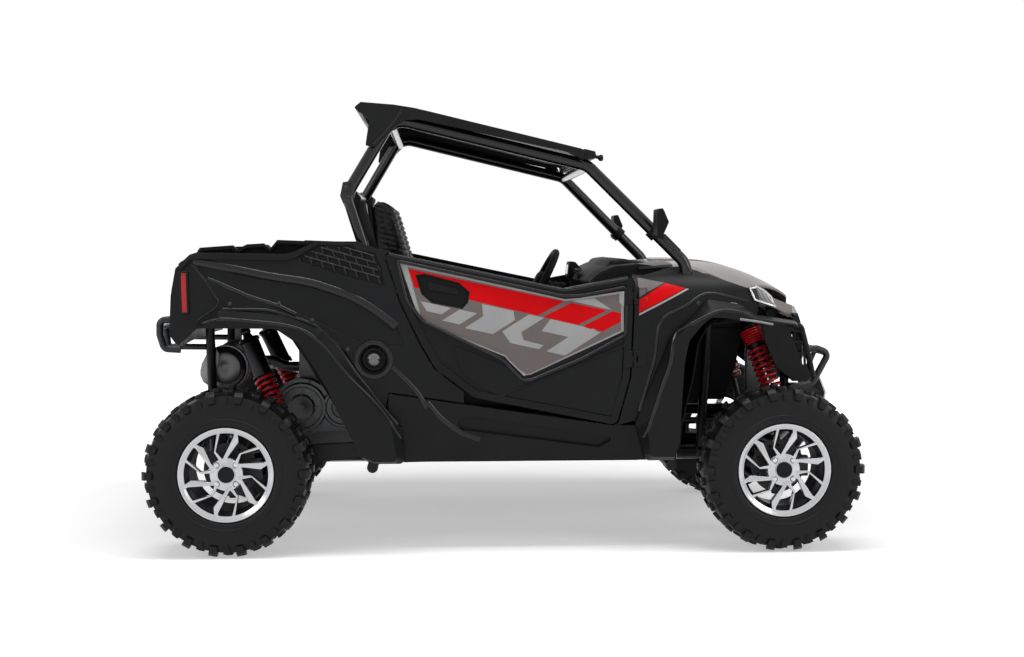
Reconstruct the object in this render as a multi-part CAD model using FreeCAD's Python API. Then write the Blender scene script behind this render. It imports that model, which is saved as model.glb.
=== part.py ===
"""Side by side utility vehicle: two seats, tubular cage, plastic body and four knobbly tyres.

Millimetres. X points forwards, Y to the left and Z up. The origin is on the ground,
halfway between the axles, on the centre line. Shapes are made for the right-hand side
and mirrored for the left.
"""
import FreeCAD
import Part
import math
import os

Vector = FreeCAD.Vector

# Clearances between pieces
FIT = 0.3
PIN_FIT = 0.4
SEAM = 0.6
DOOR_GAP = 7

# Wheels and track
WHEELBASE = 2286
OVERALL_WIDTH = 1524
TYRE_RADIUS = 341
FRONT_TYRE_WIDTH = 229
REAR_TYRE_WIDTH = 279
RIM_FLANGE_RADIUS = 195
BEAD_SEAT_RADIUS = 178
RIM_WELL_RADIUS = 156
RIM_WALL = 6
RIM_INSET = 19
LUG_DEPTH = 15
LUG_COUNT = 18
SPOKE_FORKS = 6
STUD_CIRCLE_RADIUS = 55
STUD_COUNT = 4
BRAKE_DISC_RADIUS = 112
BRAKE_DISC_OFFSET = 20
DISC_THICKNESS = 5
SPINDLE_RADIUS = 16
SPINDLE_LENGTH = 28

# Body shell
BODY_HALF_WIDTH = 700
TUMBLEHOME = 52
WAIST_Z = 860
DOOR_THICKNESS = 46
PANEL_THICKNESS = 24
FLARE_HALF_WIDTH = 750
FLARE_THICKNESS = 26
FLARE_BASE_Y = -692
SHEET = 6

# Cage and tubes
CAGE_TUBE = 50
CAGE_HALF_WIDTH = 592
ROOF_RAIL_Y = 562
CAGE_BEND = 90
BUMPER_TUBE = 30
ARM_TUBE = 32
FRAME_TUBE = 50
FRAME_RAIL_Y = 225
FRAME_Z = 340
UPPER_RAIL_Z = 480
TOWER_TUBE = 40
TOWER_Y = 340
TOWER_Z = 987
BED_RAIL_Y = 320
BED_RAIL_Z = 937
POST_X = 700
HOOP_X = -560
CROSS_RADIUS = FRAME_TUBE / 2 - 2

# Suspension and steering
KINGPIN_Y = 585
BALL_JOINT_RISE = 104
EYE_RADIUS = 20
EYE_HEIGHT = 22
STUD_RADIUS = 9
BUSH_RADIUS = 17
ARM_SPREAD = 165
STEER_ARM = 100
TIE_ROD_Z = 400
STEERING_WHEEL_RADIUS = 172
COLUMN_TILT = 27
DRIVER_Y = 330
SPRING_RADIUS = 40
FRONT_SHOCK_X = 1063
REAR_SHOCK_X = -1115
REAR_ARM_X = -610
REAR_ARM_Y = 440
REAR_ARM_Z = 400
REAR_MOUNT_Y = 120
REAR_LINK_Z = 298
PROP_FRONT_Z = 460

AXLE_Z = TYRE_RADIUS
FRONT_X = WHEELBASE / 2
REAR_X = -WHEELBASE / 2
FRONT_WHEEL_Y = (OVERALL_WIDTH - FRONT_TYRE_WIDTH) / 2
REAR_WHEEL_Y = (OVERALL_WIDTH - REAR_TYRE_WIDTH) / 2
FAR = 3000

OVERALL_LENGTH = WHEELBASE + 2 * TYRE_RADIUS

# Cab and cage, side view
POST_FOOT_Y = 560
POST_FOOT_Z = FRAME_Z + CROSS_RADIUS + 2
CAGE_PATH = [
    (POST_X, -POST_FOOT_Y, POST_FOOT_Z), (757, -CAGE_HALF_WIDTH, 1186), (340, -ROOF_RAIL_Y, 1600),
    (-470, -ROOF_RAIL_Y, 1792), (-657, -CAGE_HALF_WIDTH, 1478), (-590, -CAGE_HALF_WIDTH, 1268),
    (HOOP_X, -POST_FOOT_Y, POST_FOOT_Z),
]
ROOF_HALF_WIDTH = 612
ROOF_FRONT_X = 309
ROOF_FRONT_Z = 1681
ROOF_SLOPE = 0.2385
ROOF_BREAK_X = -330
SEAT_BASE_Z = 560
SEAT_BACK = [(-566, 1461), (-506, 1474), (-476, 1448), (-459, 1388), (-412, 1230), (-330, 940), (-265, 740),
             (-255, 640), (-375, 640), (-430, 780), (-500, 1050), (-548, 1270)]
SEAT_CUSHION = [(-378, SEAT_BASE_Z + FIT), (150, SEAT_BASE_Z + FIT), (206, 640), (210, 740), (190, 770), (120, 774),
                (0, 752), (-200, 738), (-300, 745), (-372, 700)]
DASH_OUTLINE = [(352, 1100), (362, 1172), (402, 1213), (572, 1203), (655, 1180), (655, 1090), (560, 1050),
                (500, 930), (440, 900), (400, 960)]
WHEEL_CENTRE_X = 213
WHEEL_CENTRE_Z = 1089
DOOR_OUTLINE = [(-502, 1240), (-437, 1229), (232, 1091), (502, 1141), (521, 1122), (504, 724), (454, 533),
                (428, 529),
                (-51, 626), (-139, 645), (-296, 766), (-358, 873), (-438, 1042)]
DOOR_LOWER_PANEL = [(-60, 660), (440, 560), (470, 720), (478, 860), (90, 720), (-20, 780), (-240, 870), (-180, 740)]
HANDLE_POCKET = [(-373, 1146), (-336, 1148), (-202, 1113), (-157, 1076), (-165, 1035), (-186, 1011), (-308, 1036),
                 (-348, 1069)]
DOOR_AXIS_X = 525
DOOR_AXIS_Y = BODY_HALF_WIDTH + 4
HINGE_BARREL = 7
HINGE_HEIGHTS = (800, 1060)
SILL_OUTLINE = [(-489, 661), (-30, 592), (437, 523), (600, 523), (600, 378), (386, 379), (-29, 379), (-426, 372),
                (-489, 400)]
STEP_RECESS = [(-211, 550), (-154, 567), (428, 475), (432, 458), (382, 430), (-195, 509)]

# Arches and lamps, side view
REAR_ARCH = [
    (REAR_X - 195, AXLE_Z + 494), (REAR_X - 175, AXLE_Z + 547), (REAR_X - 111, AXLE_Z + 595),
    (REAR_X + 205, AXLE_Z + 592), (REAR_X + 303, AXLE_Z + 525), (REAR_X + 412, AXLE_Z + 346),
    (REAR_X + 466, AXLE_Z + 223), (REAR_X + 590, AXLE_Z - 20), (REAR_X - 195, AXLE_Z - 20),
]
REAR_FLARE_OUTER = [
    (REAR_X - 202, AXLE_Z + 480), (REAR_X - 198, AXLE_Z + 520), (REAR_X - 31, AXLE_Z + 667),
    (REAR_X + 233, AXLE_Z + 644), (REAR_X + 388, AXLE_Z + 588), (REAR_X + 487, AXLE_Z + 487),
    (REAR_X + 564, AXLE_Z + 352), (REAR_X + 708, AXLE_Z + 181), (REAR_X + 719, AXLE_Z + 31),
    (REAR_X + 600, AXLE_Z + 31), (REAR_X, AXLE_Z + 300),
]
REAR_FLARE_CREST = [
    (REAR_X - 177, AXLE_Z + 519), (REAR_X - 169, AXLE_Z + 552), (REAR_X - 22, AXLE_Z + 633),
    (REAR_X + 235, AXLE_Z + 609), (REAR_X + 353, AXLE_Z + 569), (REAR_X + 443, AXLE_Z + 459),
    (REAR_X + 521, AXLE_Z + 364), (REAR_X + 665, AXLE_Z + 204), (REAR_X + 692, AXLE_Z + 48),
    (REAR_X + 600, AXLE_Z + 48), (REAR_X, AXLE_Z + 290),
]
FRONT_ARCH = [
    (FRONT_X - 438, AXLE_Z + 119), (FRONT_X - 421, AXLE_Z + 439), (FRONT_X - 402, AXLE_Z + 538),
    (FRONT_X - 352, AXLE_Z + 598), (FRONT_X - 312, AXLE_Z + 634), (FRONT_X - 232, AXLE_Z + 627),
    (FRONT_X - 96, AXLE_Z + 603), (FRONT_X + 70, AXLE_Z + 597), (FRONT_X + 70, AXLE_Z + 20),
    (FRONT_X - 470, AXLE_Z + 20),
]
FRONT_FLARE_OUTER = [
    (FRONT_X - 568, AXLE_Z + 37), (FRONT_X - 575, AXLE_Z + 60), (FRONT_X - 614, AXLE_Z + 195),
    (FRONT_X - 534, AXLE_Z + 396), (FRONT_X - 475, AXLE_Z + 536), (FRONT_X - 375, AXLE_Z + 636),
    (FRONT_X - 315, AXLE_Z + 705), (FRONT_X - 184, AXLE_Z + 685), (FRONT_X - 112, AXLE_Z + 640),
    (FRONT_X + 60, AXLE_Z + 612), (FRONT_X + 60, AXLE_Z + 560), (FRONT_X - 260, AXLE_Z + 500),
    (FRONT_X - 400, AXLE_Z + 37),
]
FRONT_FLARE_CREST = [
    (FRONT_X - 556, AXLE_Z + 60), (FRONT_X - 560, AXLE_Z + 90), (FRONT_X - 572, AXLE_Z + 180),
    (FRONT_X - 500, AXLE_Z + 390), (FRONT_X - 462, AXLE_Z + 540), (FRONT_X - 405, AXLE_Z + 600),
    (FRONT_X - 300, AXLE_Z + 658), (FRONT_X - 196, AXLE_Z + 650), (FRONT_X - 128, AXLE_Z + 626),
    (FRONT_X + 50, AXLE_Z + 603), (FRONT_X + 50, AXLE_Z + 565), (FRONT_X - 250, AXLE_Z + 490),
    (FRONT_X - 390, AXLE_Z + 60),
]
QUARTER_OUTLINE = [
    (-613, 1284), (-778, 1284), (-880, 1236), (-903, 1232), (-1268, 1238), (-1293, 1230), (-1352, 1174),
    (-1371, 1066),
    (-1378, 903), (-1352, 868), (-1300, 840), (-500, 600), (-489, 668), (-139, 616), (-100, 660), (-300, 900),
    (-470, 1160), (-480, 1246), (-525, 1250),
]
BELT_LEDGE = [(-1343, 1172), (-1336, 1189), (-1293, 1230), (-1268, 1238), (-903, 1232), (-870, 1241), (-778, 1284),
              (-764, 1276), (-862, 1219), (-903, 1206), (-1274, 1212), (-1290, 1208), (-1330, 1166)]
SHOULDER_LINE = [(-1274, 1200), (-1121, 1172), (-980, 1142), (-796, 1114), (-710, 1086), (-648, 1066), (-567, 1022),
                 (-506, 978), (-450, 932), (-420, 860), (-560, 850), (-760, 950), (-932, 1026), (-1049, 1052),
                 (-1122, 1092), (-1220, 1130)]
VENT_OUTLINE = [(-858, 1207), (-850, 1222), (-772, 1268), (-630, 1268), (-618, 1250), (-540, 1236), (-514, 1176),
                (-500, 1100), (-640, 1136), (-773, 1178)]
BED_SIDE = [(-1290, 1214), (-1262, 1258), (-1126, 1268), (-1108, 1252), (-1066, 1272), (-1000, 1276), (-972, 1254),
            (-942, 1290), (-786, 1284), (-618, 1280)]
TAIL_LAMP = [(-1334, 1160), (-1304, 1160), (-1298, 992), (-1328, 990)]
LAMP_OUTLINE = [(1040, 1078), (1054, 1086), (1141, 1045), (1270, 1000), (1302, 968), (1290, 944), (1153, 1000),
                (1066, 1022)]
LAMP_PLAN = [(1030, -565), (1120, -520), (1250, -420), (1310, -300), (1318, -215), (1240, -215), (1222, -300),
             (1180, -370), (1080, -450), (1030, -480)]
HOOD_TOP_Z = 1200
HOOD_PLAN = [(560, 600), (1010, 560), (1100, 470), (1200, 380), (1255, 300), (1290, 160)]
NOSE_X = 1340
TAIL_X = -1386
BED_FLOOR_Z = 1066
BED_HALF_WIDTH = 585
BED_WALL = 14
FILLER_X = -547
FILLER_Z = 802
FILLER_RADIUS = 56
ENGINE_BACK_X = -900
ENGINE_FRONT_X = -600
MUFFLER_X = -1220
MUFFLER_Z = 730
MUFFLER_RADIUS = 95
HITCH_X = -1400
HITCH_HALF = 25.4
HITCH_WALL = 6.5
HITCH_Z = FRAME_Z + CROSS_RADIUS + HITCH_HALF + HITCH_WALL + FIT
HITCH_PIN_RADIUS = 8


# Shared helpers

def plane_xz(y=0.0):
    """Maps (x, z) to a point at this y."""
    return lambda a, b: Vector(a, y, b)


def plane_xy(z=0.0):
    """Maps (x, y) to a point at this z."""
    return lambda a, b: Vector(a, b, z)


def plane_yz(x=0.0):
    """Maps (y, z) to a point at this x."""
    return lambda a, b: Vector(x, a, b)


def rounded_wire(points, radius, place):
    """A closed wire through the corners, each rounded by radius or by its own third value."""
    corners = [Vector(p[0], p[1], 0) for p in points]
    radii = [p[2] if len(p) > 2 else radius for p in points]
    starts, ends, mids = [], [], []
    count = len(corners)
    for i in range(count):
        here, before, after = corners[i], corners[i - 1], corners[(i + 1) % count]
        to_before = (before - here).normalize()
        to_after = (after - here).normalize()
        half = to_before.getAngle(to_after) / 2
        reach = radii[i] / math.tan(half) if half < math.pi / 2 - 1e-3 else 0
        limit = 0.48 * min((before - here).Length, (after - here).Length)
        reach = min(reach, limit)
        if reach < 0.05:
            starts.append(here)
            ends.append(here)
            mids.append(None)
            continue
        true_radius = reach * math.tan(half)
        starts.append(here + to_before * reach)
        ends.append(here + to_after * reach)
        inward = (to_before + to_after).normalize()
        centre_distance = true_radius / math.sin(half)
        mids.append(here + inward * (centre_distance - true_radius))
    edges = []
    for i in range(count):
        if mids[i] is not None:
            arc = Part.Arc(*[place(p.x, p.y) for p in (starts[i], mids[i], ends[i])])
            edges.append(arc.toShape())
        start, end = ends[i], starts[(i + 1) % count]
        if (end - start).Length > 1e-4:
            edges.append(Part.LineSegment(place(start.x, start.y), place(end.x, end.y)).toShape())
    return Part.Wire(edges)


def grown(wire, distance):
    """The wire moved outwards by distance, or inwards if it is negative."""
    return wire.makeOffset2D(distance, 2, False, False)


def prism(wire, vector):
    return Part.Face(wire).extrude(vector)


def side_prism(points, radius=0.0, y_low=-FAR, y_high=0.0, grow=0.0):
    """The side-view outline (x, z), extruded across the vehicle from y_low to y_high."""
    wire = rounded_wire(points, radius, plane_xz(y_low))
    if grow:
        wire = grown(wire, grow)
    return prism(wire, Vector(0, y_high - y_low, 0))


def top_prism(points, radius=0.0, z_low=0.0, z_high=FAR):
    return prism(rounded_wire(points, radius, plane_xy(z_low)), Vector(0, 0, z_high - z_low))


def front_prism(points, radius=0.0, x_low=-FAR, x_high=FAR):
    return prism(rounded_wire(points, radius, plane_yz(x_low)), Vector(x_high - x_low, 0, 0))


def box(x0, x1, y0, y1, z0, z1):
    return Part.makeBox(x1 - x0, y1 - y0, z1 - z0, Vector(x0, y0, z0))


def rod(start, end, radius):
    """A round bar between two points."""
    a, b = Vector(*start), Vector(*end)
    return Part.makeCylinder(radius, (b - a).Length, a, b - a)


def tube(points, diameter, bend):
    """A round tube along straight runs joined by tangent bends."""
    stops = [Vector(*p) for p in points]
    edges = []
    start = stops[0]
    for i in range(1, len(stops) - 1):
        here = stops[i]
        to_before = (stops[i - 1] - here).normalize()
        to_after = (stops[i + 1] - here).normalize()
        half = to_before.getAngle(to_after) / 2
        limit = 0.48 * min((stops[i - 1] - here).Length, (stops[i + 1] - here).Length)
        reach = min(bend / math.tan(half), limit)
        true_radius = reach * math.tan(half)
        first = here + to_before * reach
        last = here + to_after * reach
        middle = here + (to_before + to_after).normalize() * (true_radius / math.sin(half) - true_radius)
        edges.append(Part.LineSegment(start, first).toShape())
        edges.append(Part.Arc(first, middle, last).toShape())
        start = last
    edges.append(Part.LineSegment(start, stops[-1]).toShape())
    spine = Part.Wire(edges)
    direction = (stops[1] - stops[0]).normalize()
    ring = Part.Wire([Part.Circle(stops[0], direction, diameter / 2).toShape()])
    return spine.makePipeShell([ring], True, False)


def skin(surface, u_range, v_range, place, steps=(9, 9)):
    """A smooth face interpolated through surface(u, v) on a grid."""
    (u0, u1), (v0, v1) = u_range, v_range
    grid = []
    for i in range(steps[0]):
        u = u0 + (u1 - u0) * i / (steps[0] - 1)
        row = [v0 + (v1 - v0) * j / (steps[1] - 1) for j in range(steps[1])]
        grid.append([place(u, v, surface(u, v)) for v in row])
    spline = Part.BSplineSurface()
    spline.interpolate(grid)
    return spline.toShape()


def side_slab(half_width, x_range, z_range, thickness, steps=(9, 9)):
    """A wall of the right-hand side: its outer face follows half_width(x, z)."""
    face = skin(half_width, x_range, z_range, lambda x, z, h: Vector(x, -h, z), steps)
    return face.extrude(Vector(0, thickness, 0))


def top_slab(height, x_range, y_range, thickness, steps=(9, 9)):
    """A wall that faces up: its top follows height(x, y)."""
    face = skin(height, x_range, y_range, lambda x, y, h: Vector(x, y, h), steps)
    return face.extrude(Vector(0, 0, -thickness))


def revolved(points, axis_point, axis):
    """A closed profile of straight runs, given as 3-D points, turned about the axis."""
    wire = Part.makePolygon([Vector(*p) for p in points] + [Vector(*points[0])])
    return Part.Face(wire).revolve(axis_point, axis, 360)


def lathe_y(profile, centre=(0, 0, 0)):
    """A profile of (y, radius) corners turned about a Y axis through centre."""
    cx, cy, cz = centre
    points = [(cx, cy + y, cz + r) for y, r in profile]
    return revolved(points, Vector(cx, cy, cz), Vector(0, 1, 0))


def around_y(shape, count, first=0.0, centre=(0, 0, 0)):
    """Copies of shape spaced evenly round a Y axis."""
    copies = []
    for i in range(count):
        copy = shape.copy()
        copy.rotate(Vector(*centre), Vector(0, 1, 0), first + 360.0 * i / count)
        copies.append(copy)
    return copies


def joined(shapes):
    """One solid from pieces that overlap."""
    shapes = list(shapes)
    whole = shapes[0].multiFuse(shapes[1:]) if len(shapes) > 1 else shapes[0]
    return whole.removeSplitter()


def mirrored(shape):
    return shape.mirror(Vector(0, 0, 0), Vector(0, 1, 0))


def both_sides(shape):
    return joined([shape, mirrored(shape)])


def pair(shape):
    """The right-hand piece and its mirror image, as two solids of one node."""
    return Part.makeCompound([shape, mirrored(shape)])


def moved(shape, x, y, z):
    copy = shape.copy()
    copy.translate(Vector(x, y, z))
    return copy


def export(name, shape):
    """Writes one node, as its bare solids."""
    solids = [s for s in shape.Solids]
    if not solids:
        raise ValueError(name + " has no solid")
    for solid in solids:
        if not solid.isValid():
            print("not valid:", name)
    whole = solids[0] if len(solids) == 1 else Part.makeCompound(solids)
    whole.exportStep("parts/" + name + ".step")
    print(name, len(solids), round(sum(s.Volume for s in solids) / 1e6, 2), "litres")


# Tyres and wheels

def tyre(width):
    """A tyre centred on the origin, with its axis along Y."""
    half = width / 2
    tread = TYRE_RADIUS - LUG_DEPTH
    bead = BEAD_SEAT_RADIUS + FIT
    sidewall_mid = (bead + tread) / 2
    half_bead = half - RIM_INSET
    shoulder = (half - 26, tread - 5)

    def at(y, r):
        return Vector(0, y, r)

    edges = [
        Part.LineSegment(at(half_bead, bead), at(-half_bead, bead)).toShape(),
        Part.Arc(at(-half_bead, bead), at(-half + 4, sidewall_mid), at(-shoulder[0], shoulder[1])).toShape(),
        Part.Arc(at(-shoulder[0], shoulder[1]), at(0, tread), at(shoulder[0], shoulder[1])).toShape(),
        Part.Arc(at(shoulder[0], shoulder[1]), at(half - 4, sidewall_mid), at(half_bead, bead)).toShape(),
    ]
    carcass = Part.Face(Part.Wire(edges)).revolve(Vector(0, 0, 0), Vector(0, 1, 0), 360)
    flange = RIM_FLANGE_RADIUS + FIT
    flange_room = lathe_y([(half_bead - FIT, 0), (half_bead - FIT, flange), (half + 5, flange), (half + 5, 0)])
    return joined([carcass] + tread_lugs(half, tread)).cut(flange_room).cut(mirrored(flange_room))


def tread_lugs(half, tread):
    """Four staggered rows of lugs: a slanted pair in the middle and a stepped pair on the shoulders."""
    pitch = 360.0 / LUG_COUNT
    root = tread - 24
    crown = math.sqrt(TYRE_RADIUS ** 2 - 23 ** 2)
    shoulder_lug = front_prism(
        [(half - 58, root), (half - 1, root - 24), (half - 5, crown - 16), (half - 22, crown - 3),
         (half - 58, crown)],
        x_low=-19, x_high=19)
    middle_lug = front_prism([(8, root), (half - 68, root), (half - 68, crown), (8, crown)], x_low=-17, x_high=17)
    middle_lug.rotate(Vector(0, half / 3, 0), Vector(0, 0, 1), 16)
    right = around_y(shoulder_lug, LUG_COUNT) + around_y(middle_lug, LUG_COUNT, pitch / 2)
    left = []
    for lug in right:
        copy = mirrored(lug)
        copy.rotate(Vector(0, 0, 0), Vector(0, 1, 0), pitch / 2)
        left.append(copy)
    return right + left


def rim(width):
    """A cast wheel for the right-hand side: its face looks towards -Y."""
    half = width / 2
    lip_y = -half + RIM_INSET - 9
    inner_y = half - RIM_INSET
    flange = RIM_FLANGE_RADIUS
    seat = BEAD_SEAT_RADIUS
    well = RIM_WELL_RADIUS
    wall = RIM_WALL
    barrel = lathe_y([
        (lip_y, flange - 14), (lip_y, flange - 3), (lip_y + 3, flange), (lip_y + 8, flange), (lip_y + 9, seat),
        (lip_y + 42, seat), (lip_y + 56, well + wall), (inner_y - 24, well + wall), (inner_y - 12, seat),
        (inner_y, seat), (inner_y + 1, flange - 4), (inner_y + 7, flange - 4), (inner_y + 7, seat - wall),
        (inner_y - 10, seat - wall), (inner_y - 24, well), (lip_y + 52, well), (lip_y + 38, seat - 8),
        (lip_y + 12, seat - 8), (lip_y + 4, flange - 18),
    ])
    face_y = lip_y + 10
    forks = around_y(spoke_fork(face_y), SPOKE_FORKS)
    hub = lathe_y([(face_y + 4, 0), (face_y + 4, 34), (face_y + 9, 36), (face_y + 9, 66), (face_y + 14, 70),
                   (face_y + 42, 70), (face_y + 42, 0)])
    cap = lathe_y([(face_y - 2, 0), (face_y - 2, 27), (face_y + 3, 33), (face_y + 6, 33), (face_y + 6, 0)])
    seats = around_y(Part.makeCylinder(13, 34, Vector(0, face_y - 10, STUD_CIRCLE_RADIUS), Vector(0, 1, 0)),
                     STUD_COUNT, 45)
    nuts = around_y(Part.makeCylinder(10, 22, Vector(0, face_y + 4, STUD_CIRCLE_RADIUS), Vector(0, 1, 0)),
                    STUD_COUNT, 45)
    body = joined([barrel, hub, cap] + forks).cut(Part.makeCompound(seats))
    return joined([body] + nuts + hub_stub(face_y + 42))


def spoke_fork(face_y):
    """One of the split spokes: a leaning loop from the hub to the rim, dished towards the hub."""
    outline = [(-18, 48), (-46, 89), (-26, 168), (-34, 175), (44, 172), (54, 131), (0, 50)]
    hole = [(-14, 66), (-34, 91), (-14, 158), (28, 158), (40, 130), (-7, 66)]
    depth = 34
    blank = prism(rounded_wire(outline, 3, plane_xz(face_y)), Vector(0, depth, 0))
    gap = prism(rounded_wire(hole, 4, plane_xz(face_y - 5)), Vector(0, depth + 20, 0))
    dish = lathe_y([(face_y - 30, 0), (face_y - 30, 150), (face_y - 0.5, 150), (face_y + 7, 58), (face_y + 7, 0)])
    return blank.cut(gap).cut(dish)


def hub_stub(start_y):
    """The hub, brake disc and spindle that turn with the wheel."""
    disc_y = BRAKE_DISC_OFFSET
    hub_end = disc_y + DISC_THICKNESS + 4
    stub = lathe_y([(start_y - 1, 0), (start_y - 1, 62), (start_y + 10, 62), (start_y + 10, 38),
                    (disc_y, 38), (hub_end, 34), (hub_end, SPINDLE_RADIUS),
                    (hub_end + SPINDLE_LENGTH, SPINDLE_RADIUS),
                    (hub_end + SPINDLE_LENGTH, 0)])
    plate = lathe_y([(disc_y, 30), (disc_y, BRAKE_DISC_RADIUS), (disc_y + DISC_THICKNESS, BRAKE_DISC_RADIUS),
                     (disc_y + DISC_THICKNESS, 30)])
    slot = Part.makeCylinder(12, DISC_THICKNESS + 10, Vector(0, disc_y - 5, 66), Vector(0, 1, 0))
    return [stub, plate.cut(Part.makeCompound(around_y(slot, 8)))]


# Suspension, hubs and steering linkage

def knuckle(steered):
    """The right-hand upright about the axle line, its bearing barrel and brake caliper."""
    wheel_y = -FRONT_WHEEL_Y if steered else -REAR_WHEEL_Y
    axle_x = FRONT_X if steered else REAR_X
    hub_face = wheel_y + BRAKE_DISC_OFFSET + DISC_THICKNESS + 4 + FIT
    pin_y = kingpin_y(steered)
    half_height = BALL_JOINT_RISE - EYE_HEIGHT / 2 - FIT
    barrel = rod((axle_x, hub_face, AXLE_Z), (axle_x, pin_y + 12, AXLE_Z), 40)
    dome = Part.makeSphere(36, Vector(axle_x, pin_y, AXLE_Z))
    outline = [(-26, -half_height), (26, -half_height), (36, -40), (36, 40), (26, half_height), (-26, half_height),
               (-36, 40), (-36, -40)]
    plate = side_prism([(axle_x + x, AXLE_Z + z) for x, z in outline], 8, pin_y - 16, pin_y + 13)
    studs = [rod((axle_x, pin_y, AXLE_Z + side * (half_height - 5)),
                 (axle_x, pin_y, AXLE_Z + side * (BALL_JOINT_RISE + EYE_HEIGHT / 2 + 10)), STUD_RADIUS)
             for side in (-1, 1)]
    nuts = [rod((axle_x, pin_y, AXLE_Z + side * (BALL_JOINT_RISE + EYE_HEIGHT / 2 + FIT)),
                (axle_x, pin_y, AXLE_Z + side * (BALL_JOINT_RISE + EYE_HEIGHT / 2 + 10)), STUD_RADIUS + 6)
            for side in (-1, 1)]
    pieces = [barrel, dome, plate, caliper(axle_x, wheel_y, pin_y)] + studs + nuts
    if steered:
        pieces.append(steering_arm(axle_x, pin_y))
    bore = rod((axle_x, hub_face - 5, AXLE_Z), (axle_x, hub_face + SPINDLE_LENGTH, AXLE_Z), SPINDLE_RADIUS + PIN_FIT)
    return joined(pieces).cut(bore)


def kingpin_y(steered):
    """Where the right-hand ball joints stand across the vehicle."""
    return -KINGPIN_Y if steered else -KINGPIN_Y + FRONT_WHEEL_Y - REAR_WHEEL_Y


def caliper(axle_x, wheel_y, pin_y):
    """A floating caliper in front of the axle, which straddles the brake disc."""
    disc_y = wheel_y + BRAKE_DISC_OFFSET
    body = box(axle_x + 72, axle_x + 126, disc_y - 14, disc_y + DISC_THICKNESS + 18, AXLE_Z - 42, AXLE_Z + 42)
    slot = lathe_y([(-4, 0), (-4, BRAKE_DISC_RADIUS + 5), (DISC_THICKNESS + 4, BRAKE_DISC_RADIUS + 5),
                    (DISC_THICKNESS + 4, 0)], (axle_x, disc_y, AXLE_Z))
    bracket = box(axle_x + 30, axle_x + 90, disc_y + DISC_THICKNESS + 4, pin_y + 8, AXLE_Z - 20, AXLE_Z + 20)
    return joined([body.cut(slot), bracket])


def steering_arm(axle_x, pin_y):
    """The lever that the tie rod pushes, with its ball stud."""
    end_x = axle_x - STEER_ARM
    lever = top_prism([(axle_x - 20, pin_y - 16), (end_x - 6, pin_y - 12), (end_x - 14, pin_y),
                       (end_x - 6, pin_y + 12),
                       (axle_x - 20, pin_y + 16)], 6, TIE_ROD_Z - 32, TIE_ROD_Z - 14)
    stud = rod((end_x, pin_y, TIE_ROD_Z - 20), (end_x, pin_y, TIE_ROD_Z + 16), 6)
    return joined([lever, stud])


def tie_rod():
    """The right-hand tie rod, from its outer eye to the end that slides in the rack's boot."""
    end_x = FRONT_X - STEER_ARM
    eye = rod((end_x, -KINGPIN_Y, TIE_ROD_Z - 13), (end_x, -KINGPIN_Y, TIE_ROD_Z + 10), 13)
    shaft = rod((end_x, -KINGPIN_Y + 6, TIE_ROD_Z), (end_x, -255, TIE_ROD_Z), 8)
    sleeve = rod((end_x, -KINGPIN_Y + 16, TIE_ROD_Z), (end_x, -KINGPIN_Y + 70, TIE_ROD_Z), 11)
    bore = rod((end_x, -KINGPIN_Y, TIE_ROD_Z - 20), (end_x, -KINGPIN_Y, TIE_ROD_Z + 20), 6 + PIN_FIT)
    return joined([eye, shaft, sleeve]).cut(bore)


def steering_rack():
    """The rack housing across the frame, with a hollow bellows at each end for the tie rods."""
    x = FRONT_X - STEER_ARM + 8
    housing = rod((x, -160, TIE_ROD_Z), (x, 160, TIE_ROD_Z), 27)
    boot = revolved_boot(x)
    feet = [box(x - 30, x + 30, side * 120 - 14, side * 120 + 14, FRAME_Z + CROSS_RADIUS + FIT, TIE_ROD_Z - 15)
            for side in (-1, 1)]
    return joined([housing] + feet + [boot, mirrored(boot)])


def revolved_boot(x):
    """A bellows: three folds, open at its outer end."""
    profile = [(-150, 0), (-150, 32)]
    for fold in range(4):
        start = -165 - fold * 44
        profile += [(start, 34), (start - 22, 31)]
    profile += [(-340, 34), (-345, 34), (-345, 28), (-175, 28), (-175, 0)]
    return lathe_y(profile, (x, 0, TIE_ROD_Z))


def wishbone(eye_z, pivot_z):
    """A right-hand front arm: two legs from the frame bushes to the ball joint's eye."""
    eye = rod((FRONT_X, -KINGPIN_Y, eye_z - EYE_HEIGHT / 2), (FRONT_X, -KINGPIN_Y, eye_z + EYE_HEIGHT / 2),
              EYE_RADIUS)
    pivot_y = -(FRAME_RAIL_Y + FRAME_TUBE / 2 + BUSH_RADIUS + FIT)
    pieces = [eye]
    for side in (-1, 1):
        x = FRONT_X + side * ARM_SPREAD
        pieces.append(rod((FRONT_X + side * 6, -KINGPIN_Y + 8, eye_z), (x, pivot_y, pivot_z), ARM_TUBE / 2))
        pieces.append(rod((x - 26, pivot_y, pivot_z), (x + 26, pivot_y, pivot_z), BUSH_RADIUS))
    bore = rod((FRONT_X, -KINGPIN_Y, eye_z - 40), (FRONT_X, -KINGPIN_Y, eye_z + 40), STUD_RADIUS + PIN_FIT)
    brace_y = pivot_y - 0.45 * (KINGPIN_Y + pivot_y)
    spread = ARM_SPREAD * 0.55
    brace_z = eye_z + (pivot_z - eye_z) * 0.55
    pieces.append(rod((FRONT_X - spread, brace_y, brace_z), (FRONT_X + spread, brace_y, brace_z), 10))
    arm = joined(pieces).cut(bore)
    for side in (-1, 1):
        near = (FRONT_X, -KINGPIN_Y, eye_z + side * EYE_HEIGHT / 2)
        arm = arm.cut(rod(near, (FRONT_X, -KINGPIN_Y, eye_z + side * 60), EYE_RADIUS + 14))
    return arm


def front_arms():
    upper = wishbone(AXLE_Z + BALL_JOINT_RISE, UPPER_RAIL_Z)
    lower = wishbone(AXLE_Z - BALL_JOINT_RISE, FRAME_Z)
    return Part.makeCompound([pair(upper), pair(lower)])


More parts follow.
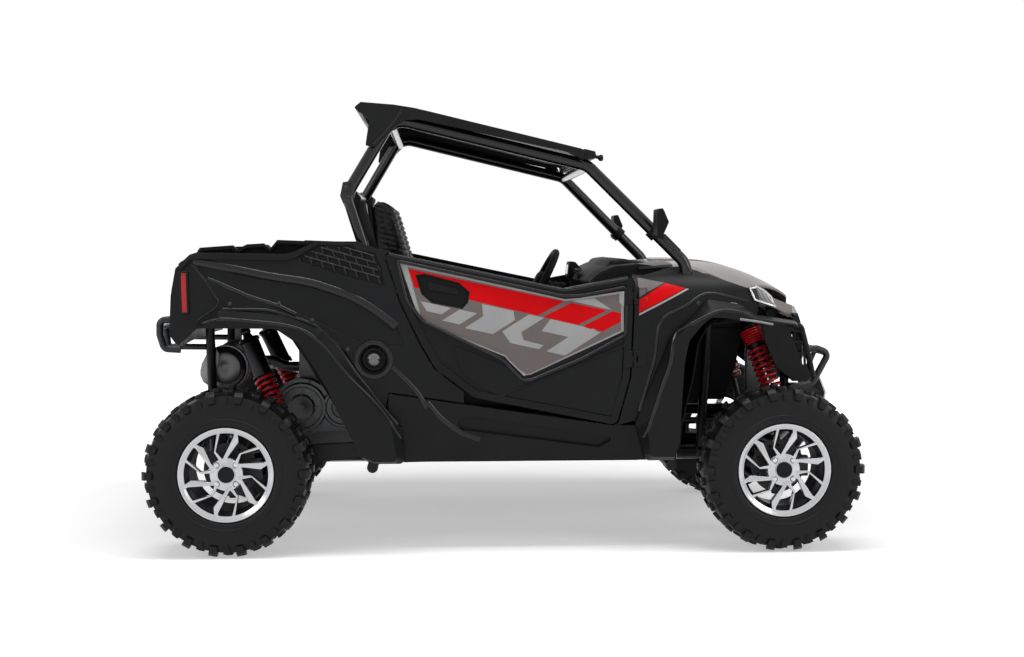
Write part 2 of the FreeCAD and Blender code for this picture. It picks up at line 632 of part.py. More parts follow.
def trailing_arm():
    """The right-hand rear arm: a box beam from its frame bush to the knuckle."""
    pin_y = kingpin_y(False)
    front = Vector(REAR_ARM_X, -REAR_ARM_Y, REAR_ARM_Z)
    back_x = REAR_X + 75
    beam = side_prism([(front.x + 20, front.z + 30), (REAR_X + 230, REAR_ARM_Z + 12), (back_x, AXLE_Z + 52),
                       (REAR_X - 40, AXLE_Z + 46), (REAR_X - 40, AXLE_Z - 46), (back_x, AXLE_Z - 52),
                       (REAR_X + 230, REAR_ARM_Z - 72), (front.x + 20, front.z - 30)], 14, -FAR, FAR)
    inner = -REAR_ARM_Y + 21
    outer = -REAR_ARM_Y - 21
    plan = top_prism([(front.x + 20, inner), (REAR_X + 150, inner), (REAR_X + 20, pin_y + 60),
                      (REAR_X - 40, pin_y + 46), (REAR_X - 40, pin_y + 13 + FIT), (REAR_X + 40, pin_y + 13 + FIT),
                      (REAR_X + 190, outer), (front.x + 20, outer)], 8, 0, FAR)
    bush = rod((front.x, inner + 16, front.z), (front.x, outer - 16, front.z), 34)
    shaft_way = rod((REAR_X, -FAR, AXLE_Z), (REAR_X, 0, AXLE_Z), 37)
    return joined([beam.common(plan), bush]).cut(shaft_way)


def radius_rod(z, inner_z):
    """A rear link from the knuckle's ball joint to the middle of the frame."""
    pin_y = kingpin_y(False)
    eye = rod((REAR_X, pin_y, z - EYE_HEIGHT / 2), (REAR_X, pin_y, z + EYE_HEIGHT / 2), EYE_RADIUS)
    inner = (REAR_X - 60, -(REAR_MOUNT_Y + BUSH_RADIUS + FIT), inner_z)
    link = rod((REAR_X, pin_y + 8, z), inner, 13)
    bush = rod((inner[0] - 24, inner[1], inner_z), (inner[0] + 24, inner[1], inner_z), BUSH_RADIUS)
    bore = rod((REAR_X, pin_y, z - 40), (REAR_X, pin_y, z + 40), STUD_RADIUS + PIN_FIT)
    above = rod((REAR_X, pin_y, z + EYE_HEIGHT / 2), (REAR_X, pin_y, z + 40), EYE_RADIUS + 6)
    below = rod((REAR_X, pin_y, z - 40), (REAR_X, pin_y, z - EYE_HEIGHT / 2), EYE_RADIUS + 6)
    return joined([eye, link, bush]).cut(bore).cut(above).cut(below)


def rear_arms():
    lower = radius_rod(AXLE_Z - BALL_JOINT_RISE, REAR_LINK_Z)
    upper = radius_rod(AXLE_Z + BALL_JOINT_RISE, AXLE_Z + 90)
    return Part.makeCompound([pair(trailing_arm()), pair(lower), pair(upper)])


def shock(top, bottom, spring_share):
    """A coil-over damper: eyes, body, spring seat and a ringed spring on the line from top to bottom."""
    a, b = Vector(*top), Vector(*bottom)
    length = (b - a).Length
    axis = (b - a).normalize()
    spring_start = 46
    spring_end = spring_start + spring_share * length
    wire = 6.5
    turns = 9
    pitch = (spring_end - spring_start) / turns
    core = SPRING_RADIUS - 15
    profile = [(0, 0), (14, 0), (26, spring_start - 8), (SPRING_RADIUS, spring_start - 8),
               (SPRING_RADIUS, spring_start)]
    for turn in range(turns):
        start = spring_start + turn * pitch
        profile += [(core, start + 1), (core, start + pitch / 2 - wire), (SPRING_RADIUS, start + pitch / 2 - 3),
                    (SPRING_RADIUS, start + pitch / 2 + 3), (core, start + pitch / 2 + wire)]
    profile += [(core, spring_end - 1), (SPRING_RADIUS, spring_end), (SPRING_RADIUS, spring_end + 8),
                (12, spring_end + 10), (12, length), (0, length)]
    flat = [(r, 0, d) for r, d in profile]
    body = revolved(flat, Vector(0, 0, 0), Vector(0, 0, 1))
    eye = Part.makeCylinder(17, 44, Vector(0, 0, 0), Vector(1, 0, 0))
    top_eye = moved(eye, -22, 0, 0)
    bottom_eye = moved(eye, -22, 0, length)
    whole = joined([body, top_eye, bottom_eye])
    turn = FreeCAD.Rotation(Vector(0, 0, 1), axis)
    whole.Placement = FreeCAD.Placement(a, turn)
    return whole


def front_shocks():
    """The front dampers, from the tower rail to the front leg of the upper arm."""
    eye = AXLE_Z + BALL_JOINT_RISE
    reach = 0.40
    pivot_y = -(FRAME_RAIL_Y + FRAME_TUBE / 2 + BUSH_RADIUS + FIT)
    foot = (FRONT_X + ARM_SPREAD * reach + 4, -KINGPIN_Y + (pivot_y + KINGPIN_Y) * reach + 5,
            eye + (UPPER_RAIL_Z - eye) * reach + ARM_TUBE / 2 + 24)
    top = (FRONT_SHOCK_X, -TOWER_Y, TOWER_Z - TOWER_TUBE / 2 - 20)
    return pair(shock(top, foot, 0.62))


def rear_shocks():
    """The rear dampers, from the bed rail to the top of the trailing arm."""
    top = (REAR_SHOCK_X, -BED_RAIL_Y, BED_RAIL_Z - TOWER_TUBE / 2 - 23)
    foot = (REAR_X + 225, -REAR_ARM_Y, REAR_ARM_Z + 12 + 23.2)
    return pair(shock(top, foot, 0.58))


# Frame

def frame():
    """The welded tube frame: lower rails, front box, shock towers, side posts and bed rails."""
    tube_radius = FRAME_TUBE / 2
    tower = TOWER_TUBE / 2
    front_end = FRONT_X + 150
    rear_end = REAR_X - 150
    pieces = []
    pieces.append(rod((rear_end, -FRAME_RAIL_Y, FRAME_Z), (front_end, -FRAME_RAIL_Y, FRAME_Z), tube_radius))
    pieces.append(rod((FRONT_X - 270, -FRAME_RAIL_Y, UPPER_RAIL_Z), (front_end, -FRAME_RAIL_Y, UPPER_RAIL_Z),
                      tube_radius))
    pieces.append(tube([(front_end - 25, -FRAME_RAIL_Y, FRAME_Z), (front_end - 25, -FRAME_RAIL_Y, 760),
                        (FRONT_X - 20, -TOWER_Y, TOWER_Z), (POST_X, -TOWER_Y, TOWER_Z)], TOWER_TUBE, 60))
    pieces.append(rod((FRONT_X - 255, -FRAME_RAIL_Y, FRAME_Z), (FRONT_X - 240, -TOWER_Y, TOWER_Z), tower))
    pieces.append(rod((POST_X, -TOWER_Y, TOWER_Z), (POST_X, -CAGE_HALF_WIDTH + 70, TOWER_Z), tower))
    pieces.append(rod((rear_end + 25, -FRAME_RAIL_Y, FRAME_Z), (rear_end + 25, -BED_RAIL_Y, BED_RAIL_Z), tower))
    pieces.append(rod((HOOP_X, -BED_RAIL_Y, BED_RAIL_Z), (rear_end - 10, -BED_RAIL_Y, BED_RAIL_Z), tower))
    pieces.append(rod((HOOP_X, -BED_RAIL_Y, BED_RAIL_Z), (HOOP_X, -CAGE_HALF_WIDTH + 40, BED_RAIL_Z), tower))
    pieces.append(rod((REAR_X + 200, -BED_RAIL_Y, BED_RAIL_Z), (HOOP_X, -BED_RAIL_Y - 25, FRAME_Z), tower))
    for x in (-1300 + 20, REAR_X + 400):
        pieces.append(rod((x, -BED_RAIL_Y, BED_RAIL_Z), (x, -BED_RAIL_Y, BED_FLOOR_Z - SHEET - FIT), tower - 4))
    for x in (HOOP_X, POST_X):
        pieces.append(rod((x, 0, FRAME_Z), (x, -POST_FOOT_Y - CAGE_TUBE / 2, FRAME_Z), CROSS_RADIUS))
    for x in (REAR_X - 60, -120, 330, FRONT_X - STEER_ARM + 8, front_end - 25, rear_end + 25):
        pieces.append(rod((x, 0, FRAME_Z), (x, -FRAME_RAIL_Y, FRAME_Z), CROSS_RADIUS))
    pieces.append(rod((front_end - 25, 0, UPPER_RAIL_Z), (front_end - 25, -FRAME_RAIL_Y, UPPER_RAIL_Z), tower))
    pieces.append(rod((FRONT_X - 240, 0, TOWER_Z), (FRONT_X - 240, -TOWER_Y, TOWER_Z), tower))
    pieces.append(rod((rear_end + 25, 0, BED_RAIL_Z), (rear_end + 25, -BED_RAIL_Y, BED_RAIL_Z), tower))
    pieces.append(rod((HOOP_X, 0, BED_RAIL_Z), (HOOP_X, -BED_RAIL_Y, BED_RAIL_Z), tower))
    pieces += [trailing_arm_mount(), rear_link_mount()]
    return both_sides(joined(pieces))


def trailing_arm_mount():
    """The bracket and cross pin that carry the front bush of the trailing arm."""
    face = -REAR_ARM_Y + 40 + FIT
    outline = [(HOOP_X - 20, FRAME_Z - 10), (HOOP_X + 22, FRAME_Z - 10), (HOOP_X + 22, REAR_ARM_Z + 45),
               (REAR_ARM_X - 30, REAR_ARM_Z + 45), (REAR_ARM_X - 30, REAR_ARM_Z - 30)]
    return side_prism(outline, 6, face, face + 10)


def rear_link_mount():
    """The upright plate between the lower rails that the rear links pivot on."""
    x = REAR_X - 60
    return box(x - 12, x + 12, -REAR_MOUNT_Y, 0, REAR_LINK_Z - 22, AXLE_Z + 115)


def skid_plate():
    """The guard under the frame, which turns up in front as a bright bash plate."""
    top = FRAME_Z - FRAME_TUBE / 2
    start = REAR_X + 100
    turn = FRONT_X + 157
    outer = [(start, top - 5), (turn, top - 5), (turn + 104, 436), (turn + 151, 560), (turn + 159, 607),
             (turn + 125, 692), (turn + 119, 689), (turn + 152, 607), (turn + 145, 562), (turn + 98, 439),
             (turn - 3, top), (start, top)]
    plate = side_prism(outer, 0, -FRAME_RAIL_Y - 5, FRAME_RAIL_Y + 5)
    slots = [side_prism([(turn + 50, 480), (turn + 180, 480), (turn + 180, 545), (turn + 50, 545)], 0,
                        y - 22, y + 22) for y in (-110, 0, 110)]
    return plate.cut(Part.makeCompound(slots))


# Cage and roof

def cage_side():
    """The right-hand pillars and rail as one bent tube, from the front foot to the rear foot."""
    return tube(CAGE_PATH, CAGE_TUBE, CAGE_BEND)


def roll_cage():
    """Two side hoops, tied by cross tubes at the screen, the seats and the belt line."""
    cross = [
        rod((345, 0, 1597), (345, -ROOF_RAIL_Y, 1597), 20),
        rod((-470, 0, 1760), (-470, -ROOF_RAIL_Y - 5, 1760), 20),
        rod((-654, 0, 1490), (-654, -CAGE_HALF_WIDTH, 1490), 20),
        rod((-598, 0, 1300), (-598, -CAGE_HALF_WIDTH, 1300), 20),
        rod((-598, -60, 1300), (-648, -CAGE_HALF_WIDTH + 30, 1480), 14),
    ]
    return both_sides(joined([cage_side()] + cross))


def roof_height(x, y):
    """The height of the roof's skin: a straight slope that levels out at the rear, with a crown."""
    level = max(0, ROOF_BREAK_X - x)
    return ROOF_FRONT_Z + ROOF_SLOPE * (ROOF_FRONT_X - x) - 0.00058 * level ** 2 - 14 * (y / ROOF_HALF_WIDTH) ** 2


def roof():
    """A moulded roof with turned-down sides, a raised rear lip and three stiffening ribs."""
    w = ROOF_HALF_WIDTH
    skin_top = top_slab(roof_height, (-640, 380), (-w - 20, w + 20), 9, (13, 7))
    plan = top_prism([(-600, -w), (300, -w), (372, -w + 60), (372, w - 60), (300, w), (-600, w)], 30, 1400, 2000)
    cover = skin_top.common(plan)
    side_outline = [(-624, 1831), (-598, 1853), (-464, 1843), (-379, 1830), (-107, 1766), (309, 1667), (326, 1630),
                    (318, 1620), (250, 1653), (-108, 1729), (-364, 1783), (-419, 1779), (-449, 1757), (-537, 1669),
                    (-579, 1676), (-563, 1782)]
    side = side_prism(side_outline, 6, -w - 4, -w + 6)
    front = side_prism([(322, 1668), (370, 1657), (376, 1630), (326, 1622)], 3, -w + 20, w - 20)
    rear = side_prism([(-624, 1831), (-598, 1853), (-590, 1838), (-596, 1810), (-604, 1810)], 4, -w, w)
    ribs = []
    for y in (-380, -190, 190, 380):
        rib = top_slab(lambda x, v: roof_height(x, v) + 7, (-640, 380), (-w - 20, w + 20), 12, (13, 7))
        ribs.append(rib.common(top_prism([(-540, y - 42), (220, y - 42), (250, y), (220, y + 42), (-540, y + 42)], 12,
                                         1400, 2000)))
    clear = tube(CAGE_PATH, CAGE_TUBE + 2 * FIT, CAGE_BEND)
    return joined([cover, pair(side), front, rear] + ribs).cut(clear).cut(mirrored(clear))


# Body surfaces

def body_half(x, z):
    """Half the body's width: widest at the waist, narrower above, below and towards both ends."""
    half = BODY_HALF_WIDTH - TUMBLEHOME * ((z - WAIST_Z) / 510) ** 2
    half -= 45 * (max(0, -600 - x) / 780) ** 2
    half -= 60 * (max(0, x - 500) / 700) ** 2
    return half


def fender_half(x, z):
    """The front fender follows the body, and rolls inwards to the hood above its shoulder."""
    return body_half(x, z) - 0.0045 * max(0, z - 1030) ** 2


def ramp(t):
    """A smooth step from 0 to 1."""
    t = min(1, max(0, t))
    return t * t * (3 - 2 * t)


def door_outline(grow=0.0):
    return side_prism(DOOR_OUTLINE, 26, -FAR, -300, grow)


# Side panels, right-hand side

def rear_quarter():
    """The panel behind the door, over the rear wheel, with its belt ledge, sunk flank and vent."""
    span = ((-1420, -180), (500, 1320))
    panel = side_slab(body_half, *span, PANEL_THICKNESS).common(side_prism(QUARTER_OUTLINE, 8))
    for outline, depth in ((SHOULDER_LINE, 6), (VENT_OUTLINE, 9)):
        layer = side_slab(lambda x, z: body_half(x, z) + 20, *span, 20 + depth)
        panel = panel.cut(layer.common(side_prism(outline, 10)))
    ledge = side_slab(lambda x, z: body_half(x, z) + 8, *span, PANEL_THICKNESS).common(side_prism(BELT_LEDGE, 6))
    flange = side_prism([(-1256, 1224), (-1256, 1231), (-892, 1227), (-892, 1220)], 0, -650, -BED_HALF_WIDTH - 5)
    panel = joined([panel, ledge, flange])
    panel = panel.cut(side_prism(REAR_FLARE_OUTER, 20, grow=SEAM))
    panel = panel.cut(door_outline(DOOR_GAP)).cut(side_prism(SILL_OUTLINE, 6, grow=SEAM))
    panel = panel.cut(side_prism(TAIL_LAMP, 4, grow=SEAM))
    filler = rod((FILLER_X, -FAR, FILLER_Z), (FILLER_X, 0, FILLER_Z), FILLER_RADIUS)
    return biggest(panel.cut(filler))


def biggest(shape):
    """The largest solid of a cut, without its offcuts."""
    return max(shape.Solids, key=lambda solid: solid.Volume)


def fuel_cap():
    """The dished filler neck and its round cap."""
    y = -body_half(FILLER_X, FILLER_Z)
    centre = (FILLER_X, y, FILLER_Z)
    dish = lathe_y([(0, 55), (24, 46), (24, 0), (30, 0), (30, 52), (8, FILLER_RADIUS - SEAM),
                    (0, FILLER_RADIUS - SEAM)],
                   centre)
    cap = lathe_y([(4, 0), (4, 20), (6, 30), (10, 34), (24, 34), (24, 0)], centre)
    grip = box(FILLER_X - 28, FILLER_X + 28, y - 2, y + 6, FILLER_Z - 5, FILLER_Z + 5)
    return joined([dish, cap, grip])


def arch_moulding(outer, crest, arch):
    """A shell with a flat outer face inside its crest, and a bevelled band from there to its edge."""
    def layer(points, y):
        return rounded_wire(points, 20, plane_xz(y))

    rim = prism(layer(outer, FLARE_BASE_Y), Vector(0, PANEL_THICKNESS, 0))
    band = Part.makeLoft([layer(outer, FLARE_BASE_Y), layer(crest, -FLARE_HALF_WIDTH)], True, True)
    room = prism(grown(layer(crest, -FLARE_HALF_WIDTH + FLARE_THICKNESS), -10), Vector(0, FAR, 0))
    return biggest(joined([rim, band]).cut(room).cut(side_prism(arch, 60)))


def rear_flare():
    """The wide arch moulding over the rear wheel, down to the sill in front of it."""
    return arch_moulding(REAR_FLARE_OUTER, REAR_FLARE_CREST, REAR_ARCH)


def front_flare():
    """The arch moulding behind and over the front wheel."""
    return arch_moulding(FRONT_FLARE_OUTER, FRONT_FLARE_CREST, FRONT_ARCH)


def front_fender():
    """The panel between the door, the hood and the arch moulding, with the door's hinge leaves."""
    slab = side_slab(fender_half, (440, 1180), (480, 1200), PANEL_THICKNESS, (11, 13))
    outline = side_prism([(520, 1146), (573, 1143), (700, 1176), (740, 1180), (1033, 1080), (1050, 1030),
                          (1035, 960), (600, 560), (440, 520)], 6)
    panel = slab.common(outline)
    panel = panel.cut(side_prism(FRONT_FLARE_OUTER, 20, grow=SEAM))
    panel = panel.cut(door_outline(DOOR_GAP)).cut(side_prism(SILL_OUTLINE, 6, grow=SEAM))
    panel = biggest(panel)
    for z in HINGE_HEIGHTS:
        panel = panel.cut(rod((DOOR_AXIS_X, -DOOR_AXIS_Y, z - 12), (DOOR_AXIS_X, -DOOR_AXIS_Y, z + 12),
                              HINGE_BARREL + 5))
    hinges = [hinge_leaf(z, 1) for z in HINGE_HEIGHTS]
    return joined([panel] + hinges).cut(cage_clearance())


def hinge_leaf(z, side):
    """One leaf of a door hinge: side 1 is the fender's, with two barrels and the pin, side -1 the door's."""
    gap = FIT
    barrel = HINGE_BARREL
    y = -DOOR_AXIS_Y
    reach = side * 46
    surface_y = -body_half(DOOR_AXIS_X + reach, z) + 4
    plate = top_prism([(DOOR_AXIS_X + side * 3, y - 3), (DOOR_AXIS_X + reach, surface_y - 8),
                       (DOOR_AXIS_X + reach, surface_y), (DOOR_AXIS_X + side * 3, y + 3)], 0, z - 34, z + 34)
    if side > 0:
        parts = [rod((DOOR_AXIS_X, y, z - 34), (DOOR_AXIS_X, y, z - 12), barrel),
                 rod((DOOR_AXIS_X, y, z + 12), (DOOR_AXIS_X, y, z + 34), barrel),
                 rod((DOOR_AXIS_X, y, z - 34), (DOOR_AXIS_X, y, z + 34), 3)]
        notch = rod((DOOR_AXIS_X, y, z - 12), (DOOR_AXIS_X, y, z + 12), barrel + 5)
        return joined([plate.cut(notch)] + parts)
    middle = rod((DOOR_AXIS_X, y, z - 12 + gap), (DOOR_AXIS_X, y, z + 12 - gap), barrel)
    clear = [rod((DOOR_AXIS_X, y, z - 40), (DOOR_AXIS_X, y, z - 12 + gap), barrel + 5),
             rod((DOOR_AXIS_X, y, z + 12 - gap), (DOOR_AXIS_X, y, z + 40), barrel + 5)]
    leaf = joined([plate.cut(clear[0]).cut(clear[1]), middle])
    return leaf.cut(rod((DOOR_AXIS_X, y, z - 50), (DOOR_AXIS_X, y, z + 50), 3 + PIN_FIT))


def sill():
    """The rocker panel under the door, with its long foot recess."""
    slab = side_slab(body_half, (-520, 640), (340, 720), 40)
    panel = slab.common(side_prism(SILL_OUTLINE, 6))
    panel = panel.cut(side_prism(REAR_FLARE_OUTER, 20, grow=SEAM)).cut(side_prism(FRONT_FLARE_OUTER, 20, grow=SEAM))
    recess = side_slab(lambda x, z: body_half(x, z) - 16, (-520, 640), (340, 720), 60)
    step = side_prism(STEP_RECESS, 20)
    hollow = step.cut(recess).common(box(-400, 600, -FAR, -BODY_HALF_WIDTH + 75, 300, 800))
    return biggest(panel.cut(hollow))


def door():
    """The right-hand door: a raised border, a sunk panel, a handle pocket and its hinge leaves."""
    slab = side_slab(body_half, (-560, 580), (480, 1290), DOOR_THICKNESS)
    shell = slab.common(door_outline())
    sunk_outline = side_prism(DOOR_OUTLINE, 26, grow=-30)
    layer = side_slab(lambda x, z: body_half(x, z) + 20, (-560, 580), (480, 1290), 28)
    shell = shell.cut(layer.common(sunk_outline))
    lower = side_slab(lambda x, z: body_half(x, z) - 3, (-560, 580), (480, 1290), 20)
    shell = joined([shell, lower.common(side_prism(DOOR_LOWER_PANEL, 20))])
    pocket = side_slab(lambda x, z: body_half(x, z) + 20, (-560, 580), (480, 1290), 50)
    shell = shell.cut(pocket.common(side_prism(HANDLE_POCKET, 14)))
    inner = side_slab(lambda x, z: body_half(x, z) - 34, (-560, 580), (480, 1290), 40)
    shell = shell.cut(inner.common(side_prism(DOOR_OUTLINE, 26, grow=-46)).cut(
        side_prism(HANDLE_POCKET, 14, grow=10)))
    lever_y = -body_half(-270, 1090) + 14
    lever = side_prism([(-330, 1118), (-205, 1090), (-196, 1064), (-322, 1086)], 8, lever_y, lever_y + 18)
    for z in HINGE_HEIGHTS:
        shell = shell.cut(rod((DOOR_AXIS_X, -DOOR_AXIS_Y, z - 40), (DOOR_AXIS_X, -DOOR_AXIS_Y, z + 40),
                              HINGE_BARREL + 5))
    leaves = [hinge_leaf(z, -1) for z in HINGE_HEIGHTS]
    return joined([biggest(shell), lever] + leaves)


# Front end

def hood_height(x, y):
    """The hood's skin: it falls to the nose, dips along the middle and rolls off at the sides."""
    crest = HOOD_TOP_Z - 0.00075 * max(0, x - 800) ** 2 - 0.0002 * max(0, 800 - x) ** 2
    dip = 16 * max(0, 1 - (y / 300) ** 2)
    side = max(0, abs(y) - 300) / 260
    return crest - dip - (14 + 70 * ramp((x - 700) / 350)) * side ** 2


def hood():
    """The hood, from the cowl to the lamps, with two raised ridges."""
    skin_top = top_slab(hood_height, (540, 1330), (-640, 640), 10, (15, 21))
    plan = top_prism(HOOD_PLAN + [(x, -y) for x, y in reversed(HOOD_PLAN)], 20, 700, 1400)
    panel = skin_top.common(plan)
    ridges = []
    for side in (-1, 1):
        ridge = top_slab(lambda x, y: hood_height(x, y) + 9, (540, 1330), (-640, 640), 14, (15, 21))
        ridges.append(ridge.common(top_prism([(720, side * 300), (1010, side * 235), (1215, side * 190),
                                              (1215, side * 150), (1000, side * 175), (720, side * 215)], 14, 700, 1400)))
    fenders = side_slab(lambda x, z: fender_half(x, z) + SEAM, (440, 1180), (480, 1200), PANEL_THICKNESS + 2 * SEAM,
                        (11, 13))
    panel = joined([panel] + ridges).cut(pair(lamp_blank(SEAM)))
    panel = panel.cut(fenders).cut(mirrored(fenders)).cut(cage_clearance()).cut(mirrored(cage_clearance()))
    return biggest(panel)


def cage_clearance():
    """The room that the right-hand cage tube needs where it passes through a panel."""
    return tube(CAGE_PATH, CAGE_TUBE + 2 * FIT, CAGE_BEND)


def lamp_blank(grow=0.0):
    """The slanting lamp on the right-hand corner of the nose, or the room that it needs."""
    side = side_prism(LAMP_OUTLINE, 6, -620, -100, grow)
    wire = rounded_wire(LAMP_PLAN, 10, plane_xy(900))
    if grow:
        wire = grown(wire, grow)
    return side.common(prism(wire, Vector(0, 0, 220)))


def headlamps():
    """Both lamps: a lens block in a slim surround."""
    return pair(lamp_blank())


def nose_x(y, z):
    """How far forward the grille stands: bowed in plan, leaning back at the top."""
    return NOSE_X - 0.00026 * y ** 2 - 0.0022 * max(0, z - 880) ** 2 - 0.0009 * max(0, 760 - z) ** 2


def front_fascia():
    """The grille panel with its slots, side wings and two hoops beside the grille."""
    face = skin(nose_x, (-470, 470), (660, 1010), lambda y, z, x: Vector(x, y, z), (11, 11))
    slab = face.extrude(Vector(-22, 0, 0))
    outline = front_prism([(-440, 700), (-300, 664), (300, 664), (440, 700), (462, 860), (440, 975), (250, 965),
                           (120, 1000), (-120, 1000), (-250, 965), (-440, 975), (-462, 860)], 20)
    panel = slab.common(outline)
    slots = []
    for row in range(4):
        z = 730 + row * 52
        slots.append(front_prism([(-230 + row * 14, z), (230 - row * 14, z), (240 - row * 14, z + 30),
                                  (-240 + row * 14, z + 30)], 8))
    panel = panel.cut(Part.makeCompound(slots))
    wall_plan = top_prism([(1090, -478), (1335, -478), (1335, -462), (1276, -462), (1290, -446), (1268, -430),
                           (1240, -462), (1090, -462)], 0, 0, FAR)
    wall = side_prism([(1106, 948), (1215, 926), (1290, 905), (1300, 745), (1334, 704), (1298, 682), (1249, 683),
                       (1169, 744), (1118, 859)], 6, -500, -420).common(wall_plan)
    window = side_prism([(1226, 900), (1276, 890), (1287, 868), (1292, 752), (1286, 752)], 4, -FAR, -455)
    bars = [box(1200, 1320, -FAR, FAR, z, z + 9) for z in (848, 798)]
    wall = wall.cut(window.cut(Part.makeCompound(bars)))
    hoop = tube([(1104, -472, 955), (1276, -472, 920), (1314, -470, 780), (1332, -468, 700)], 26, 24)
    body = joined([panel, wall, mirrored(wall), hoop, mirrored(hoop)])
    lamps = pair(lamp_blank(SEAM))
    cover = top_slab(lambda x, y: hood_height(x, y) + 60, (1000, 1380), (-600, 600), 71, (9, 15))
    return biggest(body.cut(lamps).cut(cover))


def front_bumper():
    """A bent tube loop each side of the nose, joined by two cross tubes and a lower brace."""
    loop_y = -250
    reach = NOSE_X + 108
    loop = tube([(NOSE_X - 30, loop_y, 628), (NOSE_X + 50, loop_y, 650), (reach + 15, loop_y, 785),
                 (reach - 40, loop_y, 806), (nose_x(loop_y + BUMPER_TUBE / 2, 800) + FIT, loop_y, 800)], BUMPER_TUBE, 26)
    upper = rod((reach, 0, 788), (reach, loop_y, 788), BUMPER_TUBE / 2)
    lower = rod((NOSE_X + 50, 0, 656), (NOSE_X + 50, loop_y, 656), BUMPER_TUBE / 2)
    upright = rod((reach - 2, -90, 788), (NOSE_X + 50, -90, 656), 11)
    foot = box(FRONT_X + 125 + TOWER_TUBE / 2 + FIT, NOSE_X - 10, loop_y - 20, loop_y + 40, 608, 650)
    return both_sides(joined([loop, upper, lower, upright, foot]))


def front_bin():
    """The covered box under the hood, which hangs from the frame's cross tube."""
    top = TOWER_Z - TOWER_TUBE / 2 - FIT
    outline = [(735, 600), (760, 575), (1000, 575), (1040, 720), (1058, 830), (1060, top), (735, top)]
    side = side_prism(outline, 12, -FAR, FAR)
    section = front_prism([(-205, 560), (205, 560), (300, 1000), (-300, 1000)], 0, 700, 1100)
    groove = front_prism([(-400, 900), (400, 900), (400, 906), (-400, 906)], 0, 700, 1100)
    core = front_prism([(-200, 560), (200, 560), (290, 1000), (-290, 1000)], 0, 740, 1055)
    return side.common(section).cut(groove.cut(core))


def radiator():
    """The radiator core between its tanks, held by four tabs on the frame's front posts."""
    x0, x1, half = 1182, 1222, 190
    core = box(x0 + 6, x1 - 6, -half, half, 530, 890)
    tanks = [box(x0, x1, -half, half, 520, 560), box(x0, x1, -half, half, 860, 900)]
    sides = [box(x0, x1, side * (half - 6) - 6, side * (half - 6) + 6, 520, 900) for side in (-1, 1)]
    fins = [box(x0 + 3, x1 - 3, -half, half, z, z + 5) for z in range(576, 850, 24)]
    post_face = FRONT_X + 125 - TOWER_TUBE / 2 - FIT
    tabs = [box(x1 - 20, post_face, side * 210 - 26, side * 210 + 26, z, z + 14)
            for side in (-1, 1) for z in (580, 700)]
    return joined([core] + tanks + sides + fins + tabs)


def sheet_along(points, thickness, y_low, y_high):
    """A sheet that follows the side-view line, as thick as this towards the front."""
    back = [(x + thickness, z) for x, z in points]
    return side_prism(points + list(reversed(back)), 0, y_low, y_high)


def front_liner():
    """The inner arch sheet behind the right-hand front wheel, which rests against the cage's post."""
    sheet = sheet_along([(717, 395), (727, 522), (770, 702), (795, 863), (830, 925)], SHEET, -650, -365)
    roof_sheet = side_prism([(830, 925), (850, 945), (1000, 958), (1000, 952), (852, 939), (836, 925)], 0, -650, -365)
    return biggest(joined([sheet, roof_sheet]).cut(cage_clearance()))


def rear_liner():
    """The inner arch sheet in front of the right-hand rear wheel, behind the arch moulding's face."""
    face = FLARE_BASE_Y + PANEL_THICKNESS + FIT
    ring = side_prism(REAR_ARCH, 60, face, -490, 8).cut(side_prism(REAR_ARCH, 60, -FAR, 0, 3))
    return biggest(ring.common(box(-860, 0, -FAR, 0, 400, 1000)).cut(cage_clearance()))


# Cab

def pedal(y):
    """A pedal that hangs from the toe board."""
    return joined([rod((668, y, 770), (604, y, 600), 7), side_prism([(590, 560), (600, 556), (618, 640), (608, 643)], 2,
                                                                  y - 30, y + 30)])


def floor_tub():
    """The pressed floor: a flat pan, a slanting toe board, low side walls and a centre tunnel."""
    low = FRAME_Z + FRAME_TUBE / 2 + FIT
    half = BODY_HALF_WIDTH - 60
    profile = [(-400, low), (590, low), (672, 640), (672, 900), (666, 900), (666, 642), (586, low + SHEET),
               (-400, low + SHEET)]
    pan = side_prism(profile, 0, -half + 44, half - 44)
    tunnel_outer = front_prism([(-110, low), (-90, low + 150), (90, low + 150), (110, low)], 12, -400, 640)
    tunnel_inner = front_prism([(-110 + SHEET, low - 1), (-90 + SHEET, low + 150 - SHEET),
                                (90 - SHEET, low + 150 - SHEET), (110 - SHEET, low - 1)], 8, -500, 632)
    side = side_prism([(-400, low), (560, low), (600, 520), (470, 500), (-60, 575), (-400, 600)], 10, -half + 38,
                      -half + 44)
    pedals = [pedal(DRIVER_Y - 20), pedal(DRIVER_Y - 130)]
    body = joined([pan, tunnel_outer, side, mirrored(side)] + pedals)
    shaft_way = rod((500, 0, PROP_FRONT_Z), (720, 0, PROP_FRONT_Z), 34)
    return biggest(body.cut(tunnel_inner).cut(shaft_way))


def seat_box():
    """The box under the seats with the bulkhead behind them."""
    low = FRAME_Z + FRAME_TUBE / 2 + FIT + SHEET + FIT
    half = 560
    shell = side_prism([(-402, low), (130, low), (150, SEAT_BASE_Z), (-402, SEAT_BASE_Z)], 4, -half, half)
    inside = box(-380, 118, -half + SHEET, half - SHEET, low - 1, SEAT_BASE_Z - SHEET)
    bulkhead = side_prism([(-396, SEAT_BASE_Z - 60), (-396, SEAT_BASE_Z - 6), (-462, 790), (-531, 1050), (-545, 1120),
                           (-551, 1120), (-537, 1050), (-468, 790), (-404, SEAT_BASE_Z - 6),
                           (-402, SEAT_BASE_Z - 60)], 0, -half, half)
    tunnel = front_prism([(-112, low - 20), (-92, low + 146), (92, low + 146), (112, low - 20)], 12, -410, 640)
    return biggest(joined([shell, bulkhead]).cut(inside).cut(tunnel))


